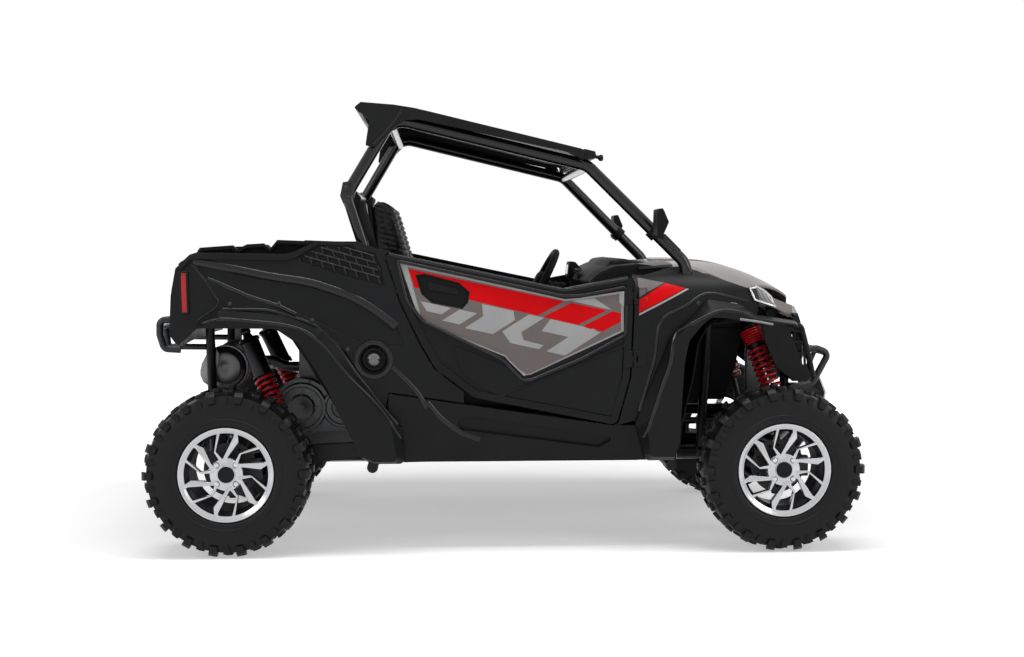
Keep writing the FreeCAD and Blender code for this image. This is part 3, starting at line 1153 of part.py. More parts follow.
def seat():
    """One bucket seat, right-hand place: cushion and high back as one soft form."""
    y = -DRIVER_Y
    back = side_prism(SEAT_BACK, 26, y - 240, y + 240)
    shoulders = front_prism([(y - 225, 600), (y + 225, 600), (y + 240, 900), (y + 232, 1200), (y + 200, 1310),
                             (y + 140, 1480), (y - 140, 1480), (y - 200, 1310), (y - 232, 1200), (y - 240, 900)], 40)
    cushion = side_prism(SEAT_CUSHION, 26, y - 240, y + 240)
    return joined([back.common(shoulders), cushion])


def dashboard():
    """The dash moulding across the cab, with a binnacle before the driver and a grab bar recess."""
    outline = side_prism(DASH_OUTLINE, 14, -560, 560)
    recess = side_prism([(330, 1080), (470, 1090), (470, 960), (330, 940)], 12, -500, -140)
    binnacle = side_prism([(330, 1190), (350, 1236), (470, 1232), (520, 1200), (520, 1150), (350, 1150)], 14,
                          DRIVER_Y - 130, DRIVER_Y + 130)
    body = joined([outline, binnacle]).cut(recess)
    clear = Part.makeCompound([cage_clearance(), mirrored(cage_clearance()), column_blank(FIT)])
    cover = top_slab(lambda x, y: hood_height(x, y) + 60, (540, 1330), (-640, 640), 70 + FIT, (15, 21))
    fenders = side_slab(lambda x, z: fender_half(x, z) + 60, (440, 1180), (480, 1200), 60 + PANEL_THICKNESS + FIT,
                        (11, 13))
    return biggest(body.cut(clear).cut(cover).cut(fenders).cut(mirrored(fenders)))


def column_point(distance):
    """A point on the steering axis, measured forwards and down from the wheel's centre."""
    angle = math.radians(COLUMN_TILT)
    return (WHEEL_CENTRE_X + distance * math.cos(angle), DRIVER_Y, WHEEL_CENTRE_Z - distance * math.sin(angle))


def column_blank(grow=0.0):
    return joined([rod(column_point(62), column_point(230), 34 + grow),
                   rod(column_point(225), column_point(480), 20 + grow)])


def steering_column():
    """The column shroud and tube, with the spindle that the wheel turns on."""
    spindle = rod(column_point(30), column_point(70), 10)
    return joined([column_blank(), spindle])


def steering_wheel():
    """A three-spoke wheel: a round rim, flat spokes and a hub."""
    ring = Part.makeTorus(STEERING_WHEEL_RADIUS - 14, 14)
    hub = Part.makeCylinder(38, 34, Vector(0, 0, -30))
    socket = Part.makeCylinder(26, 40, Vector(0, 0, -62))
    pieces = [ring, hub, socket]
    for angle in (0, 180, 90):
        spoke = Part.makeBox(STEERING_WHEEL_RADIUS - 40, 40, 8, Vector(20, -20, -14))
        spoke.rotate(Vector(0, 0, 0), Vector(0, 0, 1), angle)
        pieces.append(spoke)
    bore = Part.makeCylinder(10 + PIN_FIT, 60, Vector(0, 0, -90))
    wheel = joined(pieces).cut(bore)
    wheel.rotate(Vector(0, 0, 0), Vector(0, 0, 1), 90)
    wheel.rotate(Vector(0, 0, 0), Vector(0, 1, 0), -90 + COLUMN_TILT)
    wheel.translate(Vector(*column_point(0)))
    return wheel


def mirror():
    """A rear-view mirror on a clamp round the right-hand front pillar."""
    a, b = pillar_point(0.36), pillar_point(0.30)
    clamp = rod(a, b, CAGE_TUBE / 2 + 9).cut(tube(CAGE_PATH, CAGE_TUBE + 2 * FIT, CAGE_BEND))
    arm = rod((a[0] + 2, a[1] - 30, a[2] + 2), (626, -668, 1345), 8)
    head = side_prism([(604, 1309), (620, 1288), (653, 1362), (628, 1419), (607, 1415)], 9, -756, -640)
    return joined([clamp, arm, head])


def pillar_point(share):
    """A point on the front pillar, from its foot (0) to its top (1)."""
    a, b = CAGE_PATH[1], CAGE_PATH[2]
    return tuple(a[i] + (b[i] - a[i]) * share for i in range(3))


# Rear end and machinery

def bed_band(depth, half):
    """The top of the bed's side view, this deep, across the whole bed."""
    lower = [(x, z - depth) for x, z in reversed(BED_SIDE)]
    return side_prism(BED_SIDE + lower, 0, -half, half)


def cargo_bed():
    """An open load bed: walls with a notched rolled rim, a sloping tail cap and a ribbed floor."""
    half = BED_HALF_WIDTH
    floor_low = BED_FLOOR_Z - SHEET
    front, back = BED_SIDE[-1][0], BED_SIDE[0][0]
    outer = side_prism([(front, floor_low), (back, floor_low)] + BED_SIDE, 0, -half, half)
    inside = [(front - BED_WALL, BED_FLOOR_Z), (back + BED_WALL, BED_FLOOR_Z), (back + BED_WALL, 1210),
              (back + BED_WALL + 34, 1266), (back + BED_WALL + 34, 1400), (front - BED_WALL, 1400)]
    inner = side_prism(inside, 8, -half + BED_WALL, half - BED_WALL)
    rim_plan = top_prism([(-1262, -half - 14), (-900, -half - 26), (-780, -half - 50), (front, -half - 50),
                          (front, half + 50), (-780, half + 50), (-900, half + 26), (-1262, half + 14)], 12, 1100, 1400)
    rim = bed_band(15, half + 60).common(rim_plan)
    cap = side_prism([(-1350, 1189), (-1338, 1200), (-1276, 1238), (-1262, 1238), (-1266, 1224), (-1344, 1188)], 2,
                     -half - 10, half + 10)
    ribs = [box(back + 60, front - 60, y - 25, y + 25, BED_FLOOR_Z - 1, BED_FLOOR_Z + 6)
            for y in (-400, -240, -80, 80, 240, 400)]
    body = joined([outer, rim, cap]).cut(inner)
    quarter = side_slab(lambda x, z: body_half(x, z) + 80, (-1420, -180), (500, 1320), 80 + PANEL_THICKNESS + SEAM)
    clear = [quarter, mirrored(quarter), cage_clearance(), mirrored(cage_clearance())]
    return biggest(joined([body] + ribs).cut(Part.makeCompound(clear)))


def rear_fascia():
    """The tail panel between the quarters, with a louvred opening over the muffler."""
    face = skin(tail_x, (-620, 620), (830, 1200), lambda y, z, x: Vector(x, y, z), (9, 9))
    slab = face.extrude(Vector(20, 0, 0))
    outline = front_prism([(-645, 1165), (-645, 900), (-520, 850), (520, 850), (645, 900), (645, 1165), (400, 1185),
                           (-400, 1185)], 20)
    panel = slab.common(outline)
    slots = [front_prism([(-280, z), (280, z), (270, z + 24), (-270, z + 24)], 8) for z in (890, 936, 982)]
    quarter = side_slab(lambda x, z: body_half(x, z) + 80, (-1420, -180), (500, 1320), 80 + PANEL_THICKNESS + SEAM)
    lamp = side_prism(TAIL_LAMP, 4, -FAR, -300, SEAM)
    panel = panel.cut(Part.makeCompound(slots)).cut(quarter).cut(mirrored(quarter))
    return biggest(panel.cut(lamp).cut(mirrored(lamp)))


def tail_x(y, z):
    """The tail panel's surface, bowed in plan and leaning forwards at the top."""
    return TAIL_X + 0.00008 * y ** 2 + 0.0005 * max(0, z - 1000) ** 2


def tail_lamps():
    """The upright lamps let into the rear edges of the quarters."""
    blank = side_slab(lambda x, z: body_half(x, z) + 3, (-1420, -1180), (900, 1250), 44, (5, 7))
    return pair(blank.common(side_prism(TAIL_LAMP, 4)))


def rear_bumper():
    """Two bent tube hoops at the corners, with cross tubes between them."""
    back = -OVERALL_LENGTH / 2 + 24
    corners = [(-1374, -430, 826), (back + 18, -430, 830), (back, -430, 890), (back + 1, -430, 950),
               (-1400, -430, 956)]
    hoop = tube(corners, BUMPER_TUBE, 24)
    cross = rod((back, 0, 915), (back, -430, 915), BUMPER_TUBE / 2 - 2)
    stay = rod((REAR_X - 125 - TOWER_TUBE / 2 - FIT, -302, 828), (back + 14, -302, 830), BUMPER_TUBE / 2 - 2)
    upright = rod((back + 12, -302, 824), (back, -302, 915), BUMPER_TUBE / 2 - 1)
    return both_sides(joined([hoop, cross, stay, upright]))


def engine():
    """The engine and its belt drive housing, as plain closed masses on the lower rails."""
    low = FRAME_Z + FRAME_TUBE / 2 + FIT
    block = box(ENGINE_BACK_X, ENGINE_FRONT_X, -190, 250, low, 800)
    head = side_prism([(-860, 790), (-640, 790), (-700, 900), (-830, 900)], 20, -150, 170)
    crank = rod((-760, -215, 560), (-760, -185, 560), 130)
    housing = [rod((-700, -288, 560), (-700, -195, 560), 105), rod((-880, -288, 560), (-880, -185, 560), 125),
               box(-880, -700, -288, -195, 455, 660)]
    ribs = [rod((-880, -295, 560), (-880, -287, 560), 60)]
    return joined([block, head, crank] + housing + ribs)


def muffler():
    """A transverse silencer with domed ends, a heat shield and its inlet pipe."""
    y = 238
    r = MUFFLER_RADIUS
    can = lathe_y([(-y, 0), (-y, r - 30), (-y + 14, r - 8), (-y + 34, r), (y - 34, r), (y - 14, r - 8), (y, r - 30),
                   (y, 0)], (MUFFLER_X, 0, MUFFLER_Z))
    port_y, port_z = 150, 700
    pipe = tube([(MUFFLER_X + 40, port_y, MUFFLER_Z), (MUFFLER_X + 160, port_y, MUFFLER_Z), (-990, port_y, port_z),
                 (ENGINE_BACK_X - FIT, port_y, port_z)], 46, 60)
    tail_z = MUFFLER_Z - 30
    tail = rod((MUFFLER_X - 60, -120, tail_z), (MUFFLER_X - 122, -120, tail_z), 22)
    tail_bore = rod((MUFFLER_X - 98, -120, tail_z), (MUFFLER_X - 160, -120, tail_z), 18)
    hang_z = BED_RAIL_Z - TOWER_TUBE / 2 - FIT
    hanger = box(MUFFLER_X - 15, MUFFLER_X + 15, 188, 212, MUFFLER_Z + r - 10, hang_z)
    bar = box(REAR_X - 140, MUFFLER_X + 15, 188, 212, hang_z - 8, hang_z)
    return joined([can, pipe, tail, hanger, bar]).cut(tail_bore)


def driveline():
    """Final drives, half shafts with their boots, and the propeller shaft."""
    case_x = FRONT_X + 30
    front_case = joined([rod((case_x, -80, 440), (case_x, 80, 440), 68),
                         rod((case_x - 76, 0, PROP_FRONT_Z), (case_x, 0, PROP_FRONT_Z), 34)])
    rear_case = joined([rod((REAR_X + 40, -105, AXLE_Z + 60), (REAR_X + 40, 105, AXLE_Z + 60), 85),
                        box(REAR_X + 60, ENGINE_BACK_X - FIT, -90, 90, AXLE_Z - 10, AXLE_Z + 130)])
    pieces = [front_case, rear_case]
    shaft = rod((case_x - 76 - FIT, 0, PROP_FRONT_Z), (ENGINE_FRONT_X + 4 * FIT, 0, AXLE_Z + 60), 16)
    axles = []
    for axle_x, case_x, case_y, steered in ((FRONT_X, case_x, 80, True), (REAR_X, REAR_X + 40, 105, False)):
        end_y = kingpin_y(steered) + 36 + PIN_FIT
        inner = (case_x, -case_y - FIT, 440 if steered else AXLE_Z + 60)
        outer = (axle_x, end_y, AXLE_Z)
        half = joined([rod(inner, outer, 13), cone_between(inner, outer, 0.0, 0.22, 40, 18),
                       cone_between(inner, outer, 0.84, 1.0, 17, 26)])
        trim = box(axle_x - 100, axle_x + 100, end_y - 100, end_y, AXLE_Z - 100, AXLE_Z + 160)
        inside = box(axle_x - 100, axle_x + 140, -case_y - FIT, 0, AXLE_Z - 100, AXLE_Z + 200)
        axles.append(half.cut(trim).cut(inside))
    return Part.makeCompound([front_case, rear_case, shaft] + [pair(a) for a in axles])


def cone_between(start, end, first, last, first_radius, last_radius):
    """A taper on the line from start to end, between two shares of its length."""
    a, b = Vector(*start), Vector(*end)
    p, q = a + (b - a) * first, a + (b - a) * last
    return Part.makeCone(first_radius, last_radius, (q - p).Length, p, q - p)


def hitch():
    """The square receiver tube at the rear, with its pin bore."""
    outside = HITCH_HALF + HITCH_WALL
    outer = box(HITCH_X, HITCH_X + 150, -outside, outside, HITCH_Z - outside, HITCH_Z + outside)
    socket = box(HITCH_X - 1, HITCH_X + 130, -HITCH_HALF, HITCH_HALF, HITCH_Z - HITCH_HALF, HITCH_Z + HITCH_HALF)
    pin = rod((HITCH_X + 60, -80, HITCH_Z), (HITCH_X + 60, 80, HITCH_Z), HITCH_PIN_RADIUS)
    return outer.cut(socket).cut(pin)


# Nodes

def place_wheel(shape, axle_x, wheel_y, left):
    """Sets a right-hand wheel piece on its axle, or its mirror image on the left."""
    piece = moved(shape, axle_x, -wheel_y, AXLE_Z)
    return mirrored(piece) if left else piece


def export_wheels():
    front_tyre, front_rim = tyre(FRONT_TYRE_WIDTH), rim(FRONT_TYRE_WIDTH)
    rear_tyre, rear_rim = tyre(REAR_TYRE_WIDTH), rim(REAR_TYRE_WIDTH)
    for side, left in (("right", False), ("left", True)):
        export("tyre_front_" + side, place_wheel(front_tyre, FRONT_X, FRONT_WHEEL_Y, left))
        export("rim_front_" + side, place_wheel(front_rim, FRONT_X, FRONT_WHEEL_Y, left))
        export("tyre_rear_" + side, place_wheel(rear_tyre, REAR_X, REAR_WHEEL_Y, left))
        export("rim_rear_" + side, place_wheel(rear_rim, REAR_X, REAR_WHEEL_Y, left))


def export_sided(name, shape):
    """A right-hand piece and its mirror image, as two nodes."""
    export(name + "_right", shape)
    export(name + "_left", mirrored(shape))


def main():
    os.makedirs("parts", exist_ok=True)
    export_wheels()
    export_sided("knuckle_front", knuckle(True))
    export_sided("tie_rod", tie_rod())
    export_sided("door", door())
    export_sided("front_fender", front_fender())
    export_sided("front_flare", front_flare())
    export_sided("rear_quarter", rear_quarter())
    export_sided("rear_flare", rear_flare())
    export_sided("sill", sill())
    export_sided("seat", seat())
    export("fuel_cap", fuel_cap())
    export("steering_wheel", steering_wheel())
    export("rear_knuckles", pair(knuckle(False)))
    export("front_arms", front_arms())
    export("rear_arms", rear_arms())
    export("front_shocks", front_shocks())
    export("rear_shocks", rear_shocks())
    export("steering_rack", steering_rack())
    export("steering_column", steering_column())
    export("frame", frame())
    export("skid_plate", skid_plate())
    export("roll_cage", roll_cage())
    export("roof", roof())
    export("hood", hood())
    export("headlamps", headlamps())
    export("front_fascia", front_fascia())
    export("front_bumper", front_bumper())
    export("front_bin", front_bin())
    export("radiator", radiator())
    export("front_liners", pair(front_liner()))
    export("rear_liners", pair(rear_liner()))
    export("floor_tub", floor_tub())
    export("seat_box", seat_box())
    export("dashboard", dashboard())
    export("mirrors", pair(mirror()))
    export("cargo_bed", cargo_bed())
    export("rear_fascia", rear_fascia())
    export("tail_lamps", tail_lamps())
    export("rear_bumper", rear_bumper())
    export("engine", engine())
    export("muffler", muffler())
    export("driveline", driveline())
    export("hitch_receiver", hitch())


main()
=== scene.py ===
import math
import bpy
from bpy.props import FloatProperty, FloatVectorProperty, IntProperty, PointerProperty
from mathutils import Matrix, Vector


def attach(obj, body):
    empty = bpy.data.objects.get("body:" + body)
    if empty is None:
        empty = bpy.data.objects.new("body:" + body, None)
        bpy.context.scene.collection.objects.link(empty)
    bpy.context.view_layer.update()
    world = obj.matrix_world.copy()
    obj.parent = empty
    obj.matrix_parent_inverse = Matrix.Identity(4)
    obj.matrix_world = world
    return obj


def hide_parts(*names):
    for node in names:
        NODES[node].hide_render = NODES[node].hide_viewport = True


# Dresses the side by side utility vehicle: finishes for the CAD nodes, detailed tyres and wheels,
# springs, film, lamps, seats, small fittings and a studio. Metres, in the frame of the CAD model:
# X points forwards, Y to the left and Z up.

bl_info = {
    "name": "Side by side vehicle dressing",
    "version": (1, 0, 0),
    "blender": (4, 5, 0),
    "location": "View3D > Sidebar > Vehicle",
    "description": "Adds finishes, tyres, wheels, seats, film and a studio round the packed vehicle",
    "category": "Object",
}

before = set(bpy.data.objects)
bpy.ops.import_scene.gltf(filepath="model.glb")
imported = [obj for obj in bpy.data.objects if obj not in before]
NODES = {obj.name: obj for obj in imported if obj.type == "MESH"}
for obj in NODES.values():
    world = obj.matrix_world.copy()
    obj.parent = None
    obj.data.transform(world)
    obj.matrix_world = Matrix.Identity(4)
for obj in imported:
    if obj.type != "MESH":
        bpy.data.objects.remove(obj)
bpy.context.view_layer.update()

SIDES = (("right", -1), ("left", 1))
ENDS = (("front", 1), ("rear", -1))
AXLE_X = 1.143
AXLE_Z = 0.341
WHEEL_HALF_WIDTH = {"front": 0.1145, "rear": 0.1395}
WHEEL_Y = {"front": 0.6475, "rear": 0.6225}
ORIGIN = Vector((0, 0, 0))
RIM_FLANGE = 0.195
BEAD_SEAT = 0.178
RIM_WELL = 0.162
STUD_CIRCLE = 0.055
HOOD_SEAM_X = 0.705
FILLER_X, FILLER_Z = -0.547, 0.802
MUFFLER_X, MUFFLER_Z = -1.220, 0.730
COVER_Z = 0.560
BELT_COVER_X, CLUTCH_COVER_X = -0.880, -0.700
STEERING_CENTRE = Vector((0.213, 0.330, 1.089))
STEERING_TILT = math.radians(27)
MIRROR = Matrix.Scale(-1, 4, (0, 1, 0))


def wheel_centre(end, side):
    """The middle of a wheel, from its end of the vehicle and its side, -1 for the right."""
    x = AXLE_X if end == "front" else -AXLE_X
    return Vector((x, side * WHEEL_Y[end], AXLE_Z))


def at_wheel(end, side):
    """The matrix that takes a wheel's part from the origin to its place, mirrored on the left."""
    place = Matrix.Translation(wheel_centre(end, side))
    return place if side < 0 else place @ MIRROR


def body_half(x, z):
    """Half the width of the body shell at this place, as the CAD has it."""
    bulge = 0.052 * ((z - 0.860) / 0.510) ** 2
    tail = 0.045 * (max(0.0, -0.600 - x) / 0.780) ** 2
    nose = 0.060 * (max(0.0, x - 0.500) / 0.700) ** 2
    return 0.700 - bulge - tail - nose


# Sizes and colours that a user may change

class TyreSizes(bpy.types.PropertyGroup):
    radius: FloatProperty(name="Radius", description="Axle to the crown of the lugs", default=0.341,
                          unit="LENGTH")
    lug_depth: FloatProperty(name="Lug depth", description="Height of the lugs over the carcass",
                             default=0.015, unit="LENGTH")
    lug_count: IntProperty(name="Lugs in a row", description="Lugs round the tyre in each row", default=18)
    rubber: FloatVectorProperty(name="Rubber", description="Colour of the rubber", subtype="COLOR",
                                default=(0.0048, 0.0050, 0.0056))
    scuff_and_highlight: FloatVectorProperty(name="Scuffed rubber with painted highlight", description="Colour of the lug crowns, scuffed and with a painted highlight",
                              subtype="COLOR", default=(0.062, 0.062, 0.064))


class WheelSizes(bpy.types.PropertyGroup):
    fork_count: IntProperty(name="Forks", description="Split spokes round the wheel", default=6)
    alloy: FloatVectorProperty(name="Machined alloy", description="Colour of the machined faces",
                               subtype="COLOR", default=(0.54, 0.545, 0.56))
    barrel: FloatVectorProperty(name="Barrel", description="Colour of the painted barrel",
                                subtype="COLOR", default=(0.030, 0.030, 0.032))


class BodyColours(bpy.types.PropertyGroup):
    charcoal: FloatVectorProperty(name="Charcoal", description="Moulded body panels", subtype="COLOR",
                                  default=(0.0058, 0.0061, 0.0068))
    hood: FloatVectorProperty(name="Hood", description="Metallic paint of the hood", subtype="COLOR",
                              default=(0.215, 0.195, 0.186))
    film_red: FloatVectorProperty(name="Red film", description="Stripes of the film", subtype="COLOR",
                                  default=(0.70, 0.001, 0.004))
    film_grey: FloatVectorProperty(name="Grey film", description="Ground of the film", subtype="COLOR",
                                   default=(0.170, 0.148, 0.142))
    film_pale: FloatVectorProperty(name="Pale film", description="Bars and edges of the film",
                                   subtype="COLOR", default=(0.40, 0.40, 0.40))
    spring: FloatVectorProperty(name="Springs", description="Powder coat of the springs", subtype="COLOR",
                                default=(0.66, 0.005, 0.012))


class SeatSizes(bpy.types.PropertyGroup):
    pressure: FloatProperty(name="Pressure", description="Pressure that fills the pads", default=4.0)
    vinyl: FloatVectorProperty(name="Vinyl", description="Colour of the seat vinyl", subtype="COLOR",
                               default=(0.015, 0.0152, 0.0162))


class StudioSettings(bpy.types.PropertyGroup):
    floor: FloatVectorProperty(name="Floor", description="Colour of the floor", subtype="COLOR",
                               default=(0.80, 0.80, 0.80))
    key_power: FloatProperty(name="Overhead lamp", description="Power of the lamp over the vehicle",
                             default=260.0, unit="POWER")


# Node trees

def tree_of(name):
    """A new material with an empty tree but for its shader and output."""
    material = bpy.data.materials.new(name)
    material.use_nodes = True
    nodes = material.node_tree.nodes
    shader = nodes["Principled BSDF"]
    return material, nodes, material.node_tree.links, shader


def object_place(nodes, links, offset=(0, 0, 0), scale=(1, 1, 1)):
    """Object coordinates, moved and scaled."""
    source = nodes.new("ShaderNodeTexCoord")
    mapping = nodes.new("ShaderNodeMapping")
    mapping.inputs["Location"].default_value = offset
    mapping.inputs["Scale"].default_value = scale
    links.new(source.outputs["Object"], mapping.inputs["Vector"])
    return mapping.outputs["Vector"]


def noise(nodes, links, place, scale, detail=3.0, rough=0.5):
    """Cloudy noise from 0 to 1 at a place."""
    grain = nodes.new("ShaderNodeTexNoise")
    grain.inputs["Scale"].default_value = scale
    grain.inputs["Detail"].default_value = detail
    grain.inputs["Roughness"].default_value = rough
    links.new(place, grain.inputs["Vector"])
    return grain.outputs["Fac"]


def spread(nodes, links, value, low, high, from_low=0.0, from_high=1.0):
    """Maps a value from one range to another."""
    node = nodes.new("ShaderNodeMapRange")
    node.inputs["From Min"].default_value = from_low
    node.inputs["From Max"].default_value = from_high
    node.inputs["To Min"].default_value = low
    node.inputs["To Max"].default_value = high
    links.new(value, node.inputs["Value"])
    return node.outputs["Result"]


def mixed(nodes, links, share, first, second):
    """A colour between two, each a colour or a socket."""
    node = nodes.new("ShaderNodeMix")
    node.data_type = "RGBA"
    links.new(share, node.inputs["Factor"])
    for socket, value in ((node.inputs[6], first), (node.inputs[7], second)):
        if hasattr(value, "is_linked"):
            links.new(value, socket)
        else:
            socket.default_value = (*value, 1.0)
    return node.outputs[2]


def calculated(nodes, links, operation, first, second=None):
    """A sum on one or two values, each a number or a socket."""
    node = nodes.new("ShaderNodeMath")
    node.operation = operation
    for socket, value in zip(node.inputs, (first, second)):
        if value is None:
            continue
        if hasattr(value, "is_linked"):
            links.new(value, socket)
        else:
            socket.default_value = value
    return node.outputs["Value"]


def bumped(nodes, links, shader, height, strength, distance, softened=0.0):
    """Turns a height into a normal; softened rounds the edges of the mesh by that radius."""
    node = nodes.new("ShaderNodeBump")
    node.inputs["Strength"].default_value = strength
    node.inputs["Distance"].default_value = distance
    links.new(height, node.inputs["Height"])
    if softened:
        rounding = nodes.new("ShaderNodeBevel")
        rounding.samples = 4
        rounding.inputs["Radius"].default_value = softened
        links.new(rounding.outputs["Normal"], node.inputs["Normal"])
    links.new(node.outputs["Normal"], shader.inputs["Normal"])


def moulding(name, colour, roughness=(0.34, 0.46), grain=1400.0, strength=0.25, softened=0.003, specular=0.14):
    """Moulded plastic: a fine grain, soft mottling and dust that dulls the gloss in places."""
    material, nodes, links, shader = tree_of(name)
    place = object_place(nodes, links)
    mottle = noise(nodes, links, place, 3.0, 5.0, 0.6)
    pale = tuple(min(1.0, c * 1.45 + 0.002) for c in colour)
    links.new(mixed(nodes, links, spread(nodes, links, mottle, 0.0, 1.0, 0.35, 0.7), colour, pale),
              shader.inputs["Base Color"])
    links.new(spread(nodes, links, mottle, roughness[0], roughness[1], 0.3, 0.7), shader.inputs["Roughness"])
    shader.inputs["Specular IOR Level"].default_value = specular
    bumped(nodes, links, shader, noise(nodes, links, place, grain, 2.0), strength, 0.0004, softened)
    return material


def painted(name, colour, roughness, grain=300.0, strength=0.1, coat=0.0, metallic=0.0, softened=0.002,
            specular=0.2):
    """Paint or powder coat on metal."""
    material, nodes, links, shader = tree_of(name)
    place = object_place(nodes, links)
    mottle = noise(nodes, links, place, 12.0, 4.0)
    pale = tuple(min(1.0, c * 1.25 + 0.003) for c in colour)
    links.new(mixed(nodes, links, mottle, colour, pale), shader.inputs["Base Color"])
    links.new(spread(nodes, links, mottle, roughness * 0.85, roughness * 1.15), shader.inputs["Roughness"])
    shader.inputs["Metallic"].default_value = metallic
    shader.inputs["Specular IOR Level"].default_value = specular
    shader.inputs["Coat Weight"].default_value = coat
    shader.inputs["Coat Roughness"].default_value = 0.10
    bumped(nodes, links, shader, noise(nodes, links, place, grain, 2.0), strength, 0.0003, softened)
    return material


def metallic_paint(name, colour, seam):
    """Metallic paint with fine flakes under a clear coat; behind the seam's x it gives way to black moulding."""
    material, nodes, links, shader = tree_of(name)
    place = object_place(nodes, links)
    flakes = nodes.new("ShaderNodeTexVoronoi")
    flakes.inputs["Scale"].default_value = 1600.0
    links.new(place, flakes.inputs["Vector"])
    bright = tuple(min(1.0, c * 1.35) for c in colour)
    dark = tuple(c * 0.82 for c in colour)
    split = nodes.new("ShaderNodeSeparateXYZ")
    links.new(place, split.inputs["Vector"])
    ahead = calculated(nodes, links, "GREATER_THAN", split.outputs["X"], seam)
    paint = mixed(nodes, links, flakes.outputs["Color"], dark, bright)
    links.new(mixed(nodes, links, ahead, (0.006, 0.006, 0.0065), paint), shader.inputs["Base Color"])
    cloud = noise(nodes, links, place, 5.0)
    links.new(spread(nodes, links, cloud, 0.34, 0.42), shader.inputs["Roughness"])
    links.new(calculated(nodes, links, "MULTIPLY", ahead, 0.30), shader.inputs["Metallic"])
    links.new(calculated(nodes, links, "MULTIPLY", ahead, 0.25), shader.inputs["Coat Weight"])
    shader.inputs["Specular IOR Level"].default_value = 0.15
    shader.inputs["Coat Roughness"].default_value = 0.18
    bumped(nodes, links, shader, noise(nodes, links, place, 700.0), 0.04, 0.0003, 0.005)
    return material


def bare_metal(name, colour, roughness, stretch=(1, 1, 1), grain=220.0, strength=0.15, softened=0.0015):
    """Bare or machined metal with fine brush marks along the short side of stretch."""
    material, nodes, links, shader = tree_of(name)
    place = object_place(nodes, links, scale=stretch)
    marks = noise(nodes, links, place, grain, 3.0, 0.6)
    dull = tuple(c * 0.78 for c in colour)
    links.new(mixed(nodes, links, marks, dull, colour), shader.inputs["Base Color"])
    links.new(spread(nodes, links, marks, roughness * 0.8, roughness * 1.25), shader.inputs["Roughness"])
    shader.inputs["Metallic"].default_value = 1.0
    bumped(nodes, links, shader, marks, strength, 0.0002, softened)
    return material


def rubber(name, colour, scuff_and_highlight, centre, inner, outer):
    """Tyre rubber: paler on the crowns of the lugs, partly from scuffing and partly a painted highlight, with rings
    on the sidewall.
    """
    material, nodes, links, shader = tree_of(name)
    place = object_place(nodes, links, offset=(-centre.x, -centre.y, -centre.z))
    split = nodes.new("ShaderNodeSeparateXYZ")
    links.new(place, split.inputs["Vector"])
    squares = [calculated(nodes, links, "POWER", split.outputs[axis], 2.0) for axis in ("X", "Z")]
    radius = calculated(nodes, links, "SQRT", calculated(nodes, links, "ADD", *squares))
    # Paler lug crowns by distance from the axle: scuffing on the lug tops plus a painted highlight on them
    crown = spread(nodes, links, radius, 0.0, 1.0, inner, outer)
    scuff = noise(nodes, links, place, 60.0, 5.0, 0.65)
    share = calculated(nodes, links, "MULTIPLY", crown, spread(nodes, links, scuff, 0.0, 1.0, 0.42, 0.68))
    links.new(mixed(nodes, links, share, colour, scuff_and_highlight), shader.inputs["Base Color"])
    links.new(spread(nodes, links, scuff, 0.32, 0.56), shader.inputs["Roughness"])
    shader.inputs["Specular IOR Level"].default_value = 0.20
    rings = nodes.new("ShaderNodeTexWave")
    rings.wave_type = "RINGS"
    rings.rings_direction = "Y"
    rings.inputs["Scale"].default_value = 42.0
    links.new(place, rings.inputs["Vector"])
    height = calculated(nodes, links, "ADD", noise(nodes, links, place, 420.0, 3.0),
                        calculated(nodes, links, "MULTIPLY", rings.outputs["Fac"], 0.25))
    bumped(nodes, links, shader, height, 0.3, 0.0006, 0.0015)
    return material


def vinyl(name, colour):
    """Seat vinyl: leather-like pebbles and a soft sheen."""
    material, nodes, links, shader = tree_of(name)
    place = object_place(nodes, links)
    cells = nodes.new("ShaderNodeTexVoronoi")
    cells.inputs["Scale"].default_value = 520.0
    links.new(place, cells.inputs["Vector"])
    mottle = noise(nodes, links, place, 9.0, 4.0)
    pale = tuple(c * 1.7 for c in colour)
    links.new(mixed(nodes, links, mottle, colour, pale), shader.inputs["Base Color"])
    links.new(spread(nodes, links, mottle, 0.42, 0.58), shader.inputs["Roughness"])
    shader.inputs["Specular IOR Level"].default_value = 0.18
    shader.inputs["Sheen Weight"].default_value = 0.04
    bumped(nodes, links, shader, cells.outputs["Distance"], 0.35, 0.0006)
    return material


def webbing(name, colour):
    """Woven belt webbing: fine ribs along the strap crossed by the weft, painted paler on the raised threads and
    darker in the hollows as light and shade.
    """
    material, nodes, links, shader = tree_of(name)
    place = object_place(nodes, links)
    ribs = nodes.new("ShaderNodeTexWave")
    ribs.bands_direction = "Y"
    ribs.inputs["Scale"].default_value = 180.0
    links.new(place, ribs.inputs["Vector"])
    weft = nodes.new("ShaderNodeTexWave")
    weft.bands_direction = "Z"
    weft.inputs["Scale"].default_value = 260.0
    links.new(place, weft.inputs["Vector"])
    height = calculated(nodes, links, "MULTIPLY", ribs.outputs["Fac"], weft.outputs["Fac"])
    # Painted light and shade on the weave: paler where the threads stand high, darker in the hollows
    pale = tuple(c * 1.8 for c in colour)
    links.new(mixed(nodes, links, height, colour, pale), shader.inputs["Base Color"])
    shader.inputs["Roughness"].default_value = 0.62
    bumped(nodes, links, shader, height, 0.4, 0.0006)
    return material


def lens(name, colour, roughness=0.03, transmission=1.0):
    """Clear or coloured plastic lens."""
    material, nodes, links, shader = tree_of(name)
    place = object_place(nodes, links)
    shader.inputs["Base Color"].default_value = (*colour, 1.0)
    links.new(spread(nodes, links, noise(nodes, links, place, 30.0), roughness, roughness * 1.6),
              shader.inputs["Roughness"])
    shader.inputs["Transmission Weight"].default_value = transmission
    shader.inputs["IOR"].default_value = 1.49
    return material


FINISHES = {}


